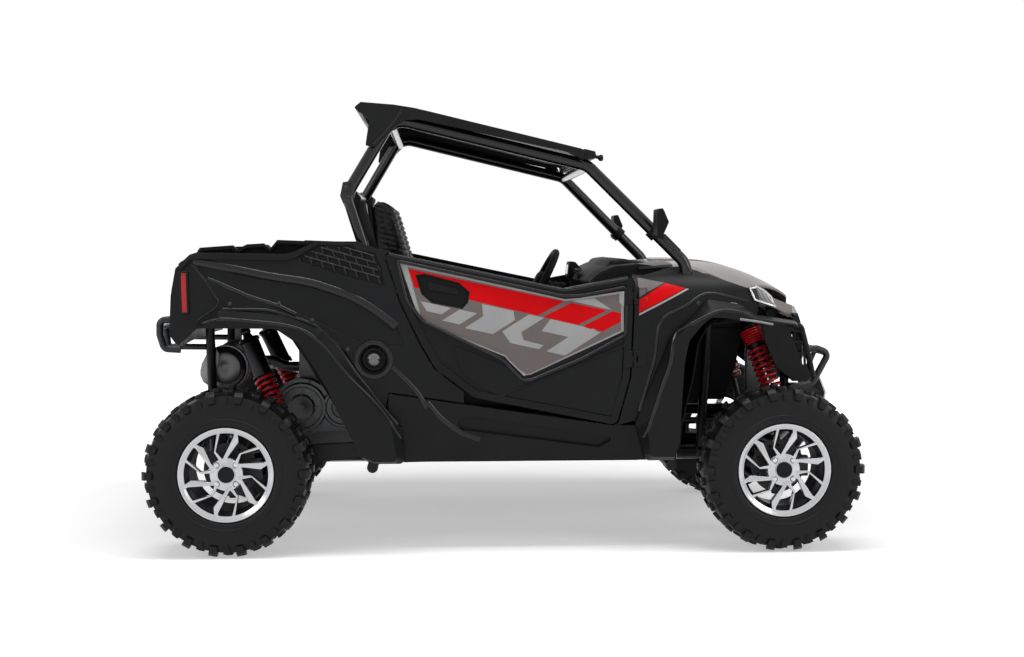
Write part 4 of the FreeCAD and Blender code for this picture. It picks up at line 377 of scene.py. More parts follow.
def build_finishes(scene):
    """Every shared finish, once."""
    body = scene.vehicle_body
    wheel = scene.vehicle_wheel
    FINISHES.update({
        "charcoal": moulding("Charcoal moulding", body.charcoal),
        "roof": moulding("Grained roof moulding", (0.0075, 0.0078, 0.0085), (0.30, 0.42), 2200.0, 0.35),
        "interior": moulding("Interior moulding", (0.006, 0.006, 0.0065), (0.5, 0.66), 900.0, 0.5, specular=0.10),
        "cage": painted("Gloss black tube paint", (0.004, 0.004, 0.0045), 0.20, 60.0, 0.02, coat=0.35),
        "frame": painted("Satin frame paint", (0.0045, 0.0045, 0.005), 0.40),
        "arms": painted("Satin arm paint", (0.0055, 0.0055, 0.006), 0.36),
        "bumper": painted("Textured bumper paint", (0.035, 0.036, 0.039), 0.34, 1200.0, 0.25, metallic=0.4),
        "hood": metallic_paint("Warm grey metallic", body.hood, HOOD_SEAM_X),
        "spring": painted("Red spring paint", body.spring, 0.28, coat=0.3),
        "alloy": bare_metal("Machined alloy", wheel.alloy, 0.24),
        "barrel": painted("Painted wheel barrel", wheel.barrel, 0.35, metallic=0.5),
        "chrome": bare_metal("Bright plating", (0.60, 0.60, 0.61), 0.12, strength=0.02),
        "steel": bare_metal("Cast steel", (0.055, 0.055, 0.058), 0.48, grain=260.0, strength=0.6),
        "skid": bare_metal("Brushed guard plate", (0.40, 0.40, 0.41), 0.34, (1, 14, 1)),
        "engine": bare_metal("Cast engine alloy", (0.120, 0.122, 0.126), 0.50, grain=420.0, strength=0.8),
        "muffler": bare_metal("Brushed muffler steel", (0.145, 0.146, 0.150), 0.40, (1, 10, 1)),
        "shield": bare_metal("Heat shield steel", (0.22, 0.22, 0.225), 0.42, (1, 10, 1)),
        "boot": moulding("Bellows rubber", (0.006, 0.006, 0.0065), (0.55, 0.7), 500.0, 0.4),
        "red_lens": lens("Red lamp lens", (0.60, 0.004, 0.010), 0.12, 0.08),
        "vinyl": vinyl("Stitched vinyl", scene.vehicle_seat.vinyl),
        "damper": painted("Anodised damper body", (0.020, 0.020, 0.022), 0.30, metallic=0.8),
        "gloss": moulding("Gloss edge moulding", (0.0055, 0.0058, 0.0065), (0.16, 0.24), 900.0, 0.05, 0.002, 0.30),
        "webbing": webbing("Belt webbing", (0.012, 0.012, 0.013)),
        "smoked": painted("Smoked lamp glass", (0.004, 0.0045, 0.005), 0.06, 60.0, 0.01, coat=0.6),
        "lit": painted("Pale light guide", (0.62, 0.64, 0.67), 0.20, 200.0, 0.05, coat=0.4),
    })


NODE_FINISHES = {
    "cage": ("roll_cage",),
    "frame": ("frame", "hitch_receiver"),
    "arms": ("front_arms", "rear_arms", "tie_rod_right", "tie_rod_left"),
    "bumper": ("front_bumper", "rear_bumper"),
    "hood": ("hood", "headlamps"),
    "roof": ("roof",),
    "interior": ("dashboard", "seat_box", "cargo_bed", "steering_column", "floor_tub", "mirrors", "front_bin",
                 "front_liners", "rear_liners"),
    "skid": ("skid_plate",),
    "steel": ("knuckle_front_right", "knuckle_front_left", "rear_knuckles", "driveline"),
    "spring": ("front_shocks", "rear_shocks"),
    "boot": ("steering_rack", "steering_wheel"),
    "engine": ("engine", "radiator"),
    "muffler": ("muffler",),
    "vinyl": ("seat_right", "seat_left"),
    "red_lens": ("tail_lamps",),
    "alloy": ("rim_front_right", "rim_front_left", "rim_rear_right", "rim_rear_left"),
}


def paint_nodes():
    """Gives every CAD node its finish."""
    for node in NODES.values():
        set_finish(node, FINISHES["charcoal"])
    for finish, names in NODE_FINISHES.items():
        for name in names:
            set_finish(NODES[name], FINISHES[finish])


def set_finish(piece, material):
    """Gives the piece this material alone."""
    piece.data.materials.clear()
    piece.data.materials.append(material)


# Modelling by hand

def only(piece):
    """Leaves this piece alone selected and active."""
    bpy.ops.object.select_all(action="DESELECT")
    piece.select_set(True)
    bpy.context.view_layer.objects.active = piece


def started(kind, name, **settings):
    """Adds a primitive and names it."""
    bpy.ops.object.select_all(action="DESELECT")
    getattr(bpy.ops.mesh, "primitive_" + kind + "_add")(**settings)
    piece = bpy.context.object
    piece.name = name
    piece.data.name = name
    bpy.ops.object.transform_apply(location=True, rotation=True, scale=True)
    return piece


def drawn(name, points, closed=False):
    """A line pulled from corner to corner out of one vertex; closed fills it with a face."""
    piece = started("plane", name, size=0.001, location=points[0])
    bpy.ops.object.mode_set(mode="EDIT")
    bpy.ops.mesh.select_all(action="SELECT")
    bpy.ops.mesh.merge(type="CENTER")
    at = Vector(points[0])
    for point in points[1:]:
        bpy.ops.mesh.extrude_region_move(TRANSFORM_OT_translate={"value": Vector(point) - at})
        at = Vector(point)
    if closed:
        bpy.ops.mesh.select_all(action="SELECT")
        bpy.ops.mesh.edge_face_add()
    bpy.ops.object.mode_set(mode="OBJECT")
    return piece


def edit(piece, *steps):
    """Runs edit-mode operators on the whole piece, each a name with its settings."""
    only(piece)
    bpy.ops.object.mode_set(mode="EDIT")
    bpy.ops.mesh.select_mode(type="VERT")
    bpy.ops.mesh.select_all(action="SELECT")
    for step, settings in steps:
        getattr(bpy.ops.mesh, step)(**settings)
    bpy.ops.object.mode_set(mode="OBJECT")
    return piece


def pull(piece, offset):
    """Extrudes the whole piece by an offset, and turns its faces outwards."""
    return edit(piece, ("extrude_region_move", {"TRANSFORM_OT_translate": {"value": offset}}),
                ("select_all", {"action": "SELECT"}), ("normals_make_consistent", {"inside": False}))


def shaped(piece, chosen, offset=(0, 0, 0), scale=None, centre=None):
    """Moves or scales the vertices that chosen picks."""
    only(piece)
    bpy.ops.object.mode_set(mode="EDIT")
    bpy.ops.mesh.select_mode(type="VERT")
    bpy.ops.mesh.select_all(action="DESELECT")
    bpy.ops.object.mode_set(mode="OBJECT")
    for vertex in piece.data.vertices:
        vertex.select = chosen(vertex.co)
    bpy.ops.object.mode_set(mode="EDIT")
    if scale:
        bpy.ops.transform.resize(value=scale, center_override=centre)
    else:
        bpy.ops.transform.translate(value=offset)
    bpy.ops.object.mode_set(mode="OBJECT")
    return piece


def spun(name, profile, centre, axis=(0, 1, 0), steps=72):
    """A profile of (along the axis, radius) corners turned about an axis through centre."""
    along = Vector(axis)
    out = Vector((0, 0, 1)) if abs(along.z) < 0.9 else Vector((1, 0, 0))
    out = (out - along * out.dot(along)).normalized()
    points = [centre + along * a + out * r for a, r in profile]
    piece = drawn(name, points)
    return edit(piece, ("spin", {"steps": steps, "angle": math.tau, "center": centre, "axis": axis}),
                ("select_all", {"action": "SELECT"}), ("remove_doubles", {"threshold": 0.00002}),
                ("normals_make_consistent", {"inside": False}))


def finished(piece, kind, **settings):
    """Adds a modifier and applies it."""
    only(piece)
    modifier = piece.modifiers.new(kind.title(), kind)
    for name, value in settings.items():
        setattr(modifier, name, value)
    bpy.ops.object.modifier_apply(modifier=modifier.name)
    return piece


def eased(piece, width, segments=2, angle=35.0):
    """Rounds the sharp edges."""
    return finished(piece, "BEVEL", width=width, segments=segments, limit_method="ANGLE",
                    angle_limit=math.radians(angle))


def smoothed(piece, angle=35.0):
    """Smooth shading, but for edges sharper than the angle."""
    only(piece)
    bpy.ops.object.shade_smooth_by_angle(angle=math.radians(angle))
    return piece


def copied(piece, name, matrix):
    """A copy with its own mesh, moved by matrix; a mirror image has its faces turned out again."""
    copy = piece.copy()
    copy.data = piece.data.copy()
    copy.name = name
    copy.data.name = name
    bpy.context.scene.collection.objects.link(copy)
    copy.data.transform(matrix)
    if matrix.determinant() < 0:
        edit(copy, ("flip_normals", {}))
    return copy


def merged(pieces, name):
    """Joins pieces into the first, under one name."""
    only(pieces[0])
    for piece in pieces[1:]:
        piece.select_set(True)
    bpy.ops.object.join()
    whole = bpy.context.object
    whole.name = name
    whole.data.name = name
    return whole


def turned(angle, axis, centre):
    """The matrix of a turn about an axis through centre."""
    return Matrix.Translation(centre) @ Matrix.Rotation(angle, 4, axis) @ Matrix.Translation(-centre)


def ringed(piece, name, count, centre, axis="Y", first=0.0):
    """Copies of a piece all round an axis, joined with it."""
    pieces = [copied(piece, name, turned(first + math.tau * i / count, axis, centre)) for i in range(count)]
    bpy.data.objects.remove(piece)
    return merged(pieces, name)


def settle(piece, material, body, *replaced, slot=None):
    """The last steps for a piece: its finish, the body that carries it and the nodes it stands for."""
    if material is not None:
        set_finish(piece, material)
    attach(piece, body)
    if replaced:
        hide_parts(*replaced)
    return piece


def piped(name, points, radius, bend=0.0, closed=False):
    """A round bead along points, with its corners rounded."""
    line = drawn(name, points + [points[0]] if closed else points)
    steps = [("remove_doubles", {"threshold": 0.00005})]
    if bend:
        steps += [("select_all", {"action": "SELECT"}),
                  ("bevel", {"offset": bend, "segments": 6, "affect": "VERTICES"})]
    edit(line, *steps)
    only(line)
    bpy.ops.object.convert(target="CURVE")
    curve = bpy.context.object
    curve.data.bevel_depth = radius
    curve.data.bevel_resolution = 3
    curve.data.use_fill_caps = True
    bpy.ops.object.convert(target="MESH")
    bead = bpy.context.object
    bead.name = name
    edit(bead, ("remove_doubles", {"threshold": 0.00002}), ("normals_make_consistent", {"inside": False}))
    return smoothed(bead, 50.0)


def both(piece, label, material, body="root", *replaced):
    """Settles a right-hand piece and its mirror image on the left."""
    piece.name = label + "_right"
    settle(copied(piece, label + "_left", MIRROR), material, body.replace("right", "left"), *replaced)
    settle(piece, material, body, *replaced)


# Tyres

# Radii between which the rubber turns from plain to paler: scuffed, and with a painted highlight on the lug crowns
SCUFF_AND_HIGHLIGHT_RADII = (0.322, 0.337)


def tyre_carcass(half, radius, depth):
    """The casing, with its bead, ribbed sidewalls and rounded tread, about the origin."""
    tread = radius - depth
    fit = 0.0003
    bead = BEAD_SEAT + fit
    flange = RIM_FLANGE + fit
    rim_edge = half - 0.019
    side = [(rim_edge, bead), (rim_edge - 0.001, flange), (rim_edge + 0.006, flange + 0.002),
            (rim_edge + 0.011, flange + 0.007), (half - 0.0055, flange + 0.014), (half - 0.0035, 0.222),
            (half - 0.0015, 0.2235), (half - 0.0015, 0.2285), (half - 0.0032, 0.230), (half - 0.0025, 0.255),
            (half - 0.006, 0.280), (half - 0.013, 0.300), (half - 0.024, tread - 0.007),
            (half - 0.045, tread - 0.002), (half * 0.3, tread)]
    profile = [(-y, r) for y, r in side] + [(y, r) for y, r in reversed(side)]
    return spun("Tyre carcass", profile, ORIGIN, steps=108)


def tyre_lugs(half, radius, depth, count):
    """One shoulder lug, its side biter and one middle lug, each copied round both halves."""
    tread = radius - depth
    root = tread - 0.012
    crown = math.sqrt(radius ** 2 - 0.021 ** 2)
    pitch = math.tau / count
    shoulder = drawn("Shoulder lug", [(-0.019, y, r) for y, r in (
        (half - 0.056, root), (half - 0.012, root - 0.020), (half - 0.001, crown - 0.046),
        (half - 0.003, crown - 0.018), (half - 0.020, crown - 0.003), (half - 0.056, crown))], closed=True)
    pull(shoulder, (0.036, 0, 0))
    shaped(shoulder, lambda c: c.y > half - 0.01 and c.z < crown - 0.03, scale=(0.62, 1, 1), centre=(0, 0, 0))
    shaped(shoulder, lambda c: c.y < half - 0.05 and c.x > 0, offset=(-0.010, 0, 0))
    eased(shoulder, 0.0022)
    pocket = started("cube", "Lug pocket", size=1, scale=(0.013, 0.016, 0.008),
                     location=(-0.002, half - 0.036, crown))
    cut(shoulder, pocket)
    middle = drawn("Middle lug", [(-0.018, 0.006, root), (0.016, 0.010, root), (0.020, half - 0.078, root),
                                  (0.004, half - 0.066, root), (-0.016, half - 0.078, root)], closed=True)
    pull(middle, (0, 0, crown - root))
    edit(middle, ("normals_make_consistent", {"inside": False}))
    eased(middle, 0.0022)
    slot = started("cube", "Lug slot", size=1, scale=(0.0045, 0.030, 0.012),
                   location=(0.001, half * 0.26, crown))
    cut(middle, slot)
    biter = drawn("Side biter", [(x, half - 0.012, r) for x, r in (
        (-0.013, tread - 0.004), (0.013, tread - 0.004), (0.010, tread - 0.034), (0.002, tread - 0.044),
        (-0.009, tread - 0.036))], closed=True)
    pull(biter, (0, 0.0085, 0))
    shaped(biter, lambda c: c.z < tread - 0.03 and c.y > half - 0.006, offset=(0, -0.002, 0))
    eased(biter, 0.0018)
    right = [ringed(shoulder, "Shoulder lugs", count, ORIGIN),
             ringed(middle, "Middle lugs", count, ORIGIN, first=pitch / 2),
             ringed(biter, "Side biters", count, ORIGIN, first=pitch / 2)]
    half_tread = merged(right, "Half tread")
    other = copied(half_tread, "Other half", turned(pitch / 2, "Y", ORIGIN) @ MIRROR)
    return [half_tread, other]


def cut(piece, tool):
    """Takes the tool's shape out of the piece."""
    only(piece)
    modifier = piece.modifiers.new("Cut", "BOOLEAN")
    modifier.operation = "DIFFERENCE"
    modifier.object = tool
    modifier.solver = "EXACT"
    bpy.ops.object.modifier_apply(modifier=modifier.name)
    bpy.data.objects.remove(tool)
    return piece


def make_tyres(scene):
    """One tyre for each axle, copied to both its wheels."""
    sizes = scene.vehicle_tyre
    for end, _ in ENDS:
        half = WHEEL_HALF_WIDTH[end]
        carcass = tyre_carcass(half, sizes.radius, sizes.lug_depth)
        lugs = tyre_lugs(half, sizes.radius, sizes.lug_depth, sizes.lug_count)
        tyre = merged([carcass] + lugs, "Tyre " + end)
        smoothed(tyre, 32.0)
        for side, sign in SIDES:
            wheel = end + "_" + side
            piece = copied(tyre, "tyre_lugged_" + wheel, at_wheel(end, sign))
            material = rubber("Tyre rubber " + end + " " + side, sizes.rubber, sizes.scuff_and_highlight,
                              wheel_centre(end, sign), *SCUFF_AND_HIGHLIGHT_RADII)
            settle(piece, material, "wheel_" + wheel, "tyre_" + wheel, slot="tyre")
        bpy.data.objects.remove(tyre)


# Wheels

# A fork's corners, as radius in millimetres and degrees clockwise from up: a slim arm, then a broad one
FORK = [(48, -24), (101, -28), (179, -11), (179, -6.5), (103, -23.5), (66, -13), (72, -8), (160, 12),
        (179, 10.5), (179, 16), (142, 21.5), (70, 5), (50, 7)]
# How far the face dishes in towards the hub, by the height it starts and ends at
DISH = [(-1.0, 0.06, 0.0085), (0.06, 0.085, 0.0060), (0.085, 0.10, 0.0040)]


def fork(face_y):
    """One split spoke about the origin: two arms that leave the hub together and reach the rim apart."""
    corners = [(r / 1000 * math.sin(math.radians(turn)), face_y, r / 1000 * math.cos(math.radians(turn)))
               for r, turn in FORK]
    arms = drawn("Fork", corners, closed=True)
    pull(arms, (0, 0.034, 0))
    for low, high, depth in DISH:
        shaped(arms, lambda c: c.y < face_y + 0.001 and low < c.z < high, offset=(0, depth, 0))
    return eased(arms, 0.0024, 2, 30.0)


def make_wheels(scene):
    """One cast wheel for each axle, with its brake disc and nuts, copied to both sides."""
    for end, _ in ENDS:
        half = WHEEL_HALF_WIDTH[end]
        lip = -half + 0.010
        parts = rim(lip, half - 0.019) + wheel_middle(lip + 0.010, scene.vehicle_wheel.fork_count)
        ring, barrel, forks, hub, cap, nuts, stub = parts
        groups = [(merged([ring, forks, hub], "Wheel face"), "wheel_face", "alloy"),
                  (barrel, "wheel_barrel", "barrel"), (cap, "wheel_cap", "charcoal"),
                  (nuts, "wheel_nuts", "chrome"), (stub, "wheel_stub", "steel")]
        for part, label, finish in groups:
            smoothed(part, 30.0)
            for side, sign in SIDES:
                piece = copied(part, label + "_" + end + "_" + side, at_wheel(end, sign))
                replaced = ["rim_" + end + "_" + side] if label == "wheel_face" else []
                settle(piece, FINISHES[finish], "wheel_" + end + "_" + side, *replaced, slot="alloy")
            bpy.data.objects.remove(part)


def rim(lip, inner):
    """The lip and the barrel behind it, from the lip's edge to the inner bead's."""
    flange, seat, well = RIM_FLANGE, BEAD_SEAT, RIM_WELL
    ring = spun("Rim lip", [
        (lip + 0.009, seat), (lip + 0.008, flange), (lip + 0.003, flange), (lip, flange - 0.003),
        (lip, flange - 0.007), (lip + 0.002, flange - 0.010), (lip + 0.003, flange - 0.013),
        (lip + 0.008, flange - 0.0185), (lip + 0.012, seat - 0.008)], ORIGIN, steps=96)
    barrel = spun("Rim barrel", [
        (lip + 0.012, seat - 0.008), (lip + 0.038, seat - 0.008), (lip + 0.052, well - 0.006),
        (inner - 0.024, well - 0.006), (inner - 0.010, seat - 0.006), (inner + 0.007, seat - 0.006),
        (inner + 0.007, flange - 0.004), (inner + 0.001, flange - 0.004), (inner, seat),
        (inner - 0.012, seat), (inner - 0.024, well), (lip + 0.056, well), (lip + 0.042, seat),
        (lip + 0.009, seat)], ORIGIN, steps=96)
    return [ring, barrel]


def pin(name, radius, depth, place, vertices, lean=0.0):
    """A short round or six-sided bar across the vehicle."""
    return started("cylinder", name, vertices=vertices, radius=radius, depth=depth,
                   rotation=(math.pi / 2 - lean, 0, 0), location=place)


def wheel_middle(face, fork_count):
    """The forks, hub, cap, nuts, and the stub with its brake disc and the valve."""
    forks = ringed(fork(face), "Forks", fork_count, ORIGIN)
    hub = spun("Hub", [(face + 0.042, 0.0001), (face + 0.042, 0.070), (face + 0.014, 0.070),
                       (face + 0.0085, 0.066), (face + 0.0085, 0.037), (face + 0.004, 0.0355),
                       (face + 0.004, 0.0001)], ORIGIN, steps=64)
    seat = pin("Stud seat", 0.013, 0.030, (0, face + 0.004, STUD_CIRCLE), 24)
    cut(hub, ringed(seat, "Stud seats", 4, ORIGIN, first=math.pi / 4))
    eased(hub, 0.001, 2, 30.0)
    cap = spun("Centre cap", [(face + 0.006, 0.0001), (face + 0.006, 0.0335), (face + 0.002, 0.0335),
                              (face - 0.001, 0.0315), (face - 0.002, 0.027), (face - 0.0012, 0.024),
                              (face - 0.0012, 0.0001)], ORIGIN, steps=48)
    nut = pin("Nut", 0.0112, 0.020, (0, face + 0.014, STUD_CIRCLE), 6)
    eased(nut, 0.002, 3, 40.0)
    nuts = ringed(nut, "Nuts", 4, ORIGIN, first=math.pi / 4)
    stub = spun("Hub stub", [(face + 0.041, 0.0001), (face + 0.041, 0.062), (face + 0.052, 0.062),
                             (face + 0.052, 0.038), (0.020, 0.038), (0.029, 0.034), (0.029, 0.016),
                             (0.057, 0.016), (0.057, 0.0001)], ORIGIN, steps=48)
    disc = spun("Brake disc", [(0.020, 0.036), (0.020, 0.112), (0.025, 0.112), (0.025, 0.036)], ORIGIN, steps=64)
    cut(disc, ringed(pin("Disc hole", 0.006, 0.03, (0, 0.0225, 0.088), 16), "Disc holes", 16, ORIGIN))
    valve = pin("Valve", 0.004, 0.030, (0.030, face + 0.016, 0.163), 12, lean=0.5)
    return [forks, hub, cap, nuts, merged([stub, valve, disc], "Stub")]


# Film on the doors and fenders, as outlines of (x, z) in millimetres, the lowest layer first

HANDLE_POCKET = [(-377, 1148), (-337, 1152), (-199, 1116), (-153, 1077), (-161, 1034), (-185, 1007), (-310, 1032),
                 (-352, 1068)]


def without_pocket(piece, outline):
    """Cuts the outline's edges through a flat film and takes out what lies inside it."""
    corners = [Vector((x / 1000, 0, z / 1000)) for x, z in outline]
    ways = []
    for start, end in zip(corners, corners[1:] + corners[:1]):
        inward = Vector((0, 1, 0)).cross(end - start).normalized()
        ways.append((start, inward))
        edit(piece, ("bisect", {"plane_co": start, "plane_no": inward}))
    only(piece)
    bpy.ops.object.mode_set(mode="EDIT")
    bpy.ops.mesh.select_mode(type="FACE")
    bpy.ops.mesh.select_all(action="DESELECT")
    bpy.ops.object.mode_set(mode="OBJECT")
    middle = sum(corners, Vector()) / len(corners)
    for face in piece.data.polygons:
        inside = [(face.center - start).dot(way) * (middle - start).dot(way) > 0 for start, way in ways]
        face.select = all(inside)
    bpy.ops.object.mode_set(mode="EDIT")
    bpy.ops.mesh.delete(type="FACE")
    bpy.ops.object.mode_set(mode="OBJECT")


def laid_film(name, outline, node, lift, material, body):
    """A film cut to its outline (x, z), laid on the outside of a node on the right-hand side."""
    piece = drawn(name, [(x / 1000, -0.80, z / 1000) for x, z in outline], closed=True)
    low = [min(p[i] for p in outline) / 1000 for i in (0, 1)]
    high = [max(p[i] for p in outline) / 1000 for i in (0, 1)]
    cell = 0.02 if node.startswith("door") else 0.009
    for axis, index in ((0, 0), (2, 1)):
        place = low[index] + cell
        while place < high[index]:
            point = [0.0, 0.0, 0.0]
            point[axis] = place
            normal = [0.0, 0.0, 0.0]
            normal[axis] = 1.0
            edit(piece, ("bisect", {"plane_co": point, "plane_no": normal}))
            place += cell
    if node.startswith("door") and low[0] < -0.2:
        without_pocket(piece, HANDLE_POCKET)
    finished(piece, "SHRINKWRAP", wrap_method="PROJECT", wrap_mode="ABOVE_SURFACE", target=NODES[node], offset=lift,
             use_project_y=True, use_negative_direction=True, use_positive_direction=True)
    edit(piece, ("normals_make_consistent", {"inside": False}))
    if sum(face.normal.y for face in piece.data.polygons) > 0:
        edit(piece, ("flip_normals", {}))
    finished(piece, "SOLIDIFY", thickness=0.0004, offset=-1.0)
    smoothed(piece, 40.0)
    left = copied(piece, name.replace("right", "left"), MIRROR)
    settle(piece, material, body)
    settle(left, material, body.replace("right", "left"))
    return piece


DOOR_FILM = [
    ("edge", "pale", [(-440, 1197), (237, 1047), (300, 1052), (479, 1080), (479, 915), (96, 738), (66, 733), (4, 794),
                      (-9, 811), (-341, 948), (-364, 972)]),
    ("ground", "grey", [(-408, 1180), (237, 1040), (300, 1045), (468, 1070), (468, 918), (95, 742), (70, 738),
                        (8, 798), (-6, 816), (-336, 954), (-352, 972)]),
    ("wedge", "pale", [(262, 1040), (359, 1050), (430, 1002)]),
    ("stripe_one", "red", [(-405, 1172), (234, 1038), (124, 980), (-380, 1096)]),
    ("stripe_two", "red", [(262, 1032), (409, 1001), (290, 941), (144, 974)]),
    ("stripe_three", "red", [(432, 997), (467, 989), (467, 955), (385, 910), (308, 935)]),
    ("bar_one", "pale", [(-356, 1040), (-318, 1032), (-232, 1012), (-270, 986), (-330, 1000)]),
    ("bar_two", "pale", [(-196, 1006), (-124, 990), (-196, 945), (-268, 961)]),
    ("bar_three", "pale", [(-104, 1028), (24, 1000), (30, 962), (-60, 905), (-176, 930), (-100, 978)]),
    ("bar_four", "pale", [(88, 985), (150, 971), (56, 912), (66, 880), (148, 858), (128, 842), (12, 868),
                          (-22, 916)]),
    ("bar_five", "pale", [(176, 966), (392, 916), (236, 815), (160, 833), (250, 892), (140, 917)]),
]
FENDER_FILM = [
    ("ground", "grey", [(541, 1134), (652, 1113), (541, 1056)]),
    ("stripe", "red", [(656, 1111), (738, 1091), (541, 991), (541, 1046)]),
    ("line", "pale", [(742, 1089), (752, 1086), (541, 979), (541, 987)]),
]


def make_film(scene):
    """Lays each film over the one below it, thinly lifted off the panel."""
    colours = scene.vehicle_body
    finishes = {
        "red": painted("Red film", colours.film_red, 0.30, 500.0, 0.03, softened=0.0, specular=0.12),
        "grey": painted("Grey film", colours.film_grey, 0.34, 500.0, 0.03, softened=0.0, specular=0.15),
        "pale": painted("Pale film", colours.film_pale, 0.34, 500.0, 0.03, softened=0.0, specular=0.15),
    }
    for node, body, pieces, start in (("door_right", "door_right", DOOR_FILM, "door"),
                                      ("front_fender_right", "root", FENDER_FILM, "fender")):
        for layer, (name, tone, outline) in enumerate(pieces):
            lift = 0.0006 + 0.0003 * min(layer, 2)
            laid_film("film_" + start + "_" + name + "_right", outline, node, lift, finishes[tone], body)


# Springs and dampers

# For each end of the vehicle: top eye, foot eye, sprung share of the length, and the divider's place in it
SHOCKS = {"front": ((1.063, -0.340, 0.947), (1.213, -0.4529, 0.499), 0.62, 0.27),
          "rear": ((-1.115, -0.320, 0.894), (-0.918, -0.440, 0.4352), 0.74, 0.42)}
SPRING_RADIUS = 0.0395


def helix(name, wire, start, end, turns):
    """A round wire wound into a spring along Z."""
    piece = started("circle", name, vertices=10, radius=wire, rotation=(math.pi / 2, 0, 0),
                    location=(SPRING_RADIUS, 0, start))
    finished(piece, "SCREW", axis="Z", angle=math.tau, screw_offset=(end - start) / turns, iterations=turns,
             steps=26, render_steps=26, use_normal_calculate=True)
    return edit(piece, ("remove_doubles", {"threshold": 0.00002}), ("select_all", {"action": "SELECT"}),
                ("fill_holes", {"sides": 0}), ("normals_make_consistent", {"inside": False}))


def along_line(start, end):
    """The matrix that lays something drawn up from the origin along the line from start to end."""
    up = (end - start).normalized()
    across = (Vector((1, 0, 0)) - up * up.x).normalized()
    matrix = Matrix((across, up.cross(across), up)).transposed().to_4x4()
    return Matrix.Translation(start) @ matrix


def make_shocks(scene):
    """The right-hand spring and damper of each axle, and their mirror images."""
    for end, (top, foot, share, upper) in SHOCKS.items():
        top, foot = Vector(top), Vector(foot)
        length = (foot - top).length
        start = 0.046
        stop = start + share * length
        divide = start + upper * (stop - start)
        spring = helix("Main spring", 0.0072, divide + 0.013, stop - 0.008, 8)
        if end == "front":
            spring = merged([helix("Tender spring", 0.0055, start + 0.007, divide - 0.008, 6), spring], "Spring")
        sleeve = 0.0265 if end == "front" else 0.0405
        body_end = start + (0.60 if end == "front" else 0.72) * (stop - start)
        damper = spun("Damper", [
            (0.010, 0.0001), (0.012, 0.017), (start - 0.014, 0.023), (start - 0.010, 0.0455), (start, 0.0465),
            (start + 0.002, 0.030), (start + 0.008, sleeve), (divide - 0.002, sleeve), (divide - 0.002, 0.045),
            (divide + 0.006, 0.045), (divide + 0.006, 0.0275), (divide + 0.020, 0.0275), (divide + 0.022, 0.0255),
            (body_end, 0.0255), (body_end + 0.006, 0.021), (body_end + 0.008, 0.0001)], ORIGIN, (0, 0, 1), 40)
        foot_cup = spun("Spring cup", [
            (stop - 0.002, 0.0001), (stop - 0.002, 0.045), (stop + 0.006, 0.0465), (stop + 0.010, 0.030),
            (stop + 0.020, 0.017), (length - 0.014, 0.0145), (length - 0.012, 0.0001)], ORIGIN, (0, 0, 1), 40)
        rod = spun("Damper rod", [(body_end - 0.010, 0.0001), (body_end - 0.010, 0.0085), (stop + 0.004, 0.0085),
                                  (stop + 0.004, 0.0001)], ORIGIN, (0, 0, 1), 24)
        eyes = []
        for place in (0.0, length):
            eye = spun("Damper eye", [(-0.021, 0.0001), (-0.021, 0.0085), (-0.017, 0.009), (-0.016, 0.016),
                                      (-0.013, 0.0178), (0.013, 0.0178), (0.016, 0.016), (0.017, 0.009),
                                      (0.021, 0.0085), (0.021, 0.0001)], Vector((0, 0, place)), (1, 0, 0), 32)
            eyes.append(eye)
        damper = merged([damper, foot_cup] + eyes, "Damper")
        parts = [(spring, "spring", FINISHES["spring"]), (damper, "damper", FINISHES["damper"]),
                 (rod, "damper_rod", FINISHES["chrome"])]
        matrix = along_line(top, foot)
        for part, label, material in parts:
            smoothed(part, 35.0)
            for side, turn in (("right", matrix), ("left", MIRROR @ matrix)):
                piece = copied(part, label + "_" + end + "_" + side, turn)
                settle(piece, material, "root", end + "_shocks")
            bpy.data.objects.remove(part)


# Seats and belts

# Side outlines are (x, z) in millimetres
SEAT_Y = 0.330
SEAT_HALF = 0.238
BACK_SEAM_Y = 0.165
CUSHION_SEAM_Y = 0.160
UPPER_BACK_Z = 1.19
UPPER_CHANNELS = [1.405 - 0.0215 * row for row in range(10)]
LOWER_CHANNELS = [1.02 - 0.075 * row for row in range(3)]
CUSHION_CHANNELS = (-0.22, -0.15, -0.08, -0.01, 0.06, 0.13)
BACK_SIDE = [(-562, 1440), (-545, 1463), (-512, 1466), (-487, 1446), (-470, 1388), (-424, 1230), (-345, 940),
             (-292, 790), (-372, 700), (-425, 790), (-492, 1050), (-540, 1270)]
CUSHION_SIDE = [(-366, 578), (140, 578), (192, 645), (200, 735), (182, 762), (120, 766), (0, 744), (-200, 730),
                (-300, 735), (-366, 700)]
SHELL_SIDE = [(-583, 1452), (-560, 1474), (-556, 1462), (-566, 1440), (-545, 1268), (-497, 1050), (-430, 788),
              (-378, 700), (-366, 640), (-380, 640), (-392, 694), (-446, 780), (-512, 1046), (-560, 1266)]


def slab(name, outline, half, middle=0.0):
    """A form with this side outline, in millimetres, as wide as half to each side of its middle."""
    piece = drawn(name, [(x / 1000, middle - half, z / 1000) for x, z in outline], closed=True)
    return pull(piece, (0, 2 * half, 0))


def puffed(piece, limit):
    """Blows up a pad from inside as cloth, and keeps each point within a limit of where it was."""
    voxel = finished(piece, "REMESH", mode="VOXEL", voxel_size=0.0095)
    before = [vertex.co.copy() for vertex in voxel.data.vertices]
    only(voxel)
    cloth = voxel.modifiers.new("Filling", "CLOTH")
    cloth.settings.use_pressure = True
    cloth.settings.uniform_pressure_force = bpy.context.scene.vehicle_seat.pressure
    cloth.settings.effector_weights.gravity = 0.0
    for step in range(1, 21):
        bpy.context.scene.frame_set(step)
    bpy.ops.object.modifier_apply(modifier=cloth.name)
    bpy.context.scene.frame_set(1)
    for vertex, start in zip(voxel.data.vertices, before):
        way = vertex.co - start
        if way.length > limit:
            vertex.co = start + way * (limit / way.length)
    return finished(voxel, "SUBSURF", levels=1, render_levels=1)


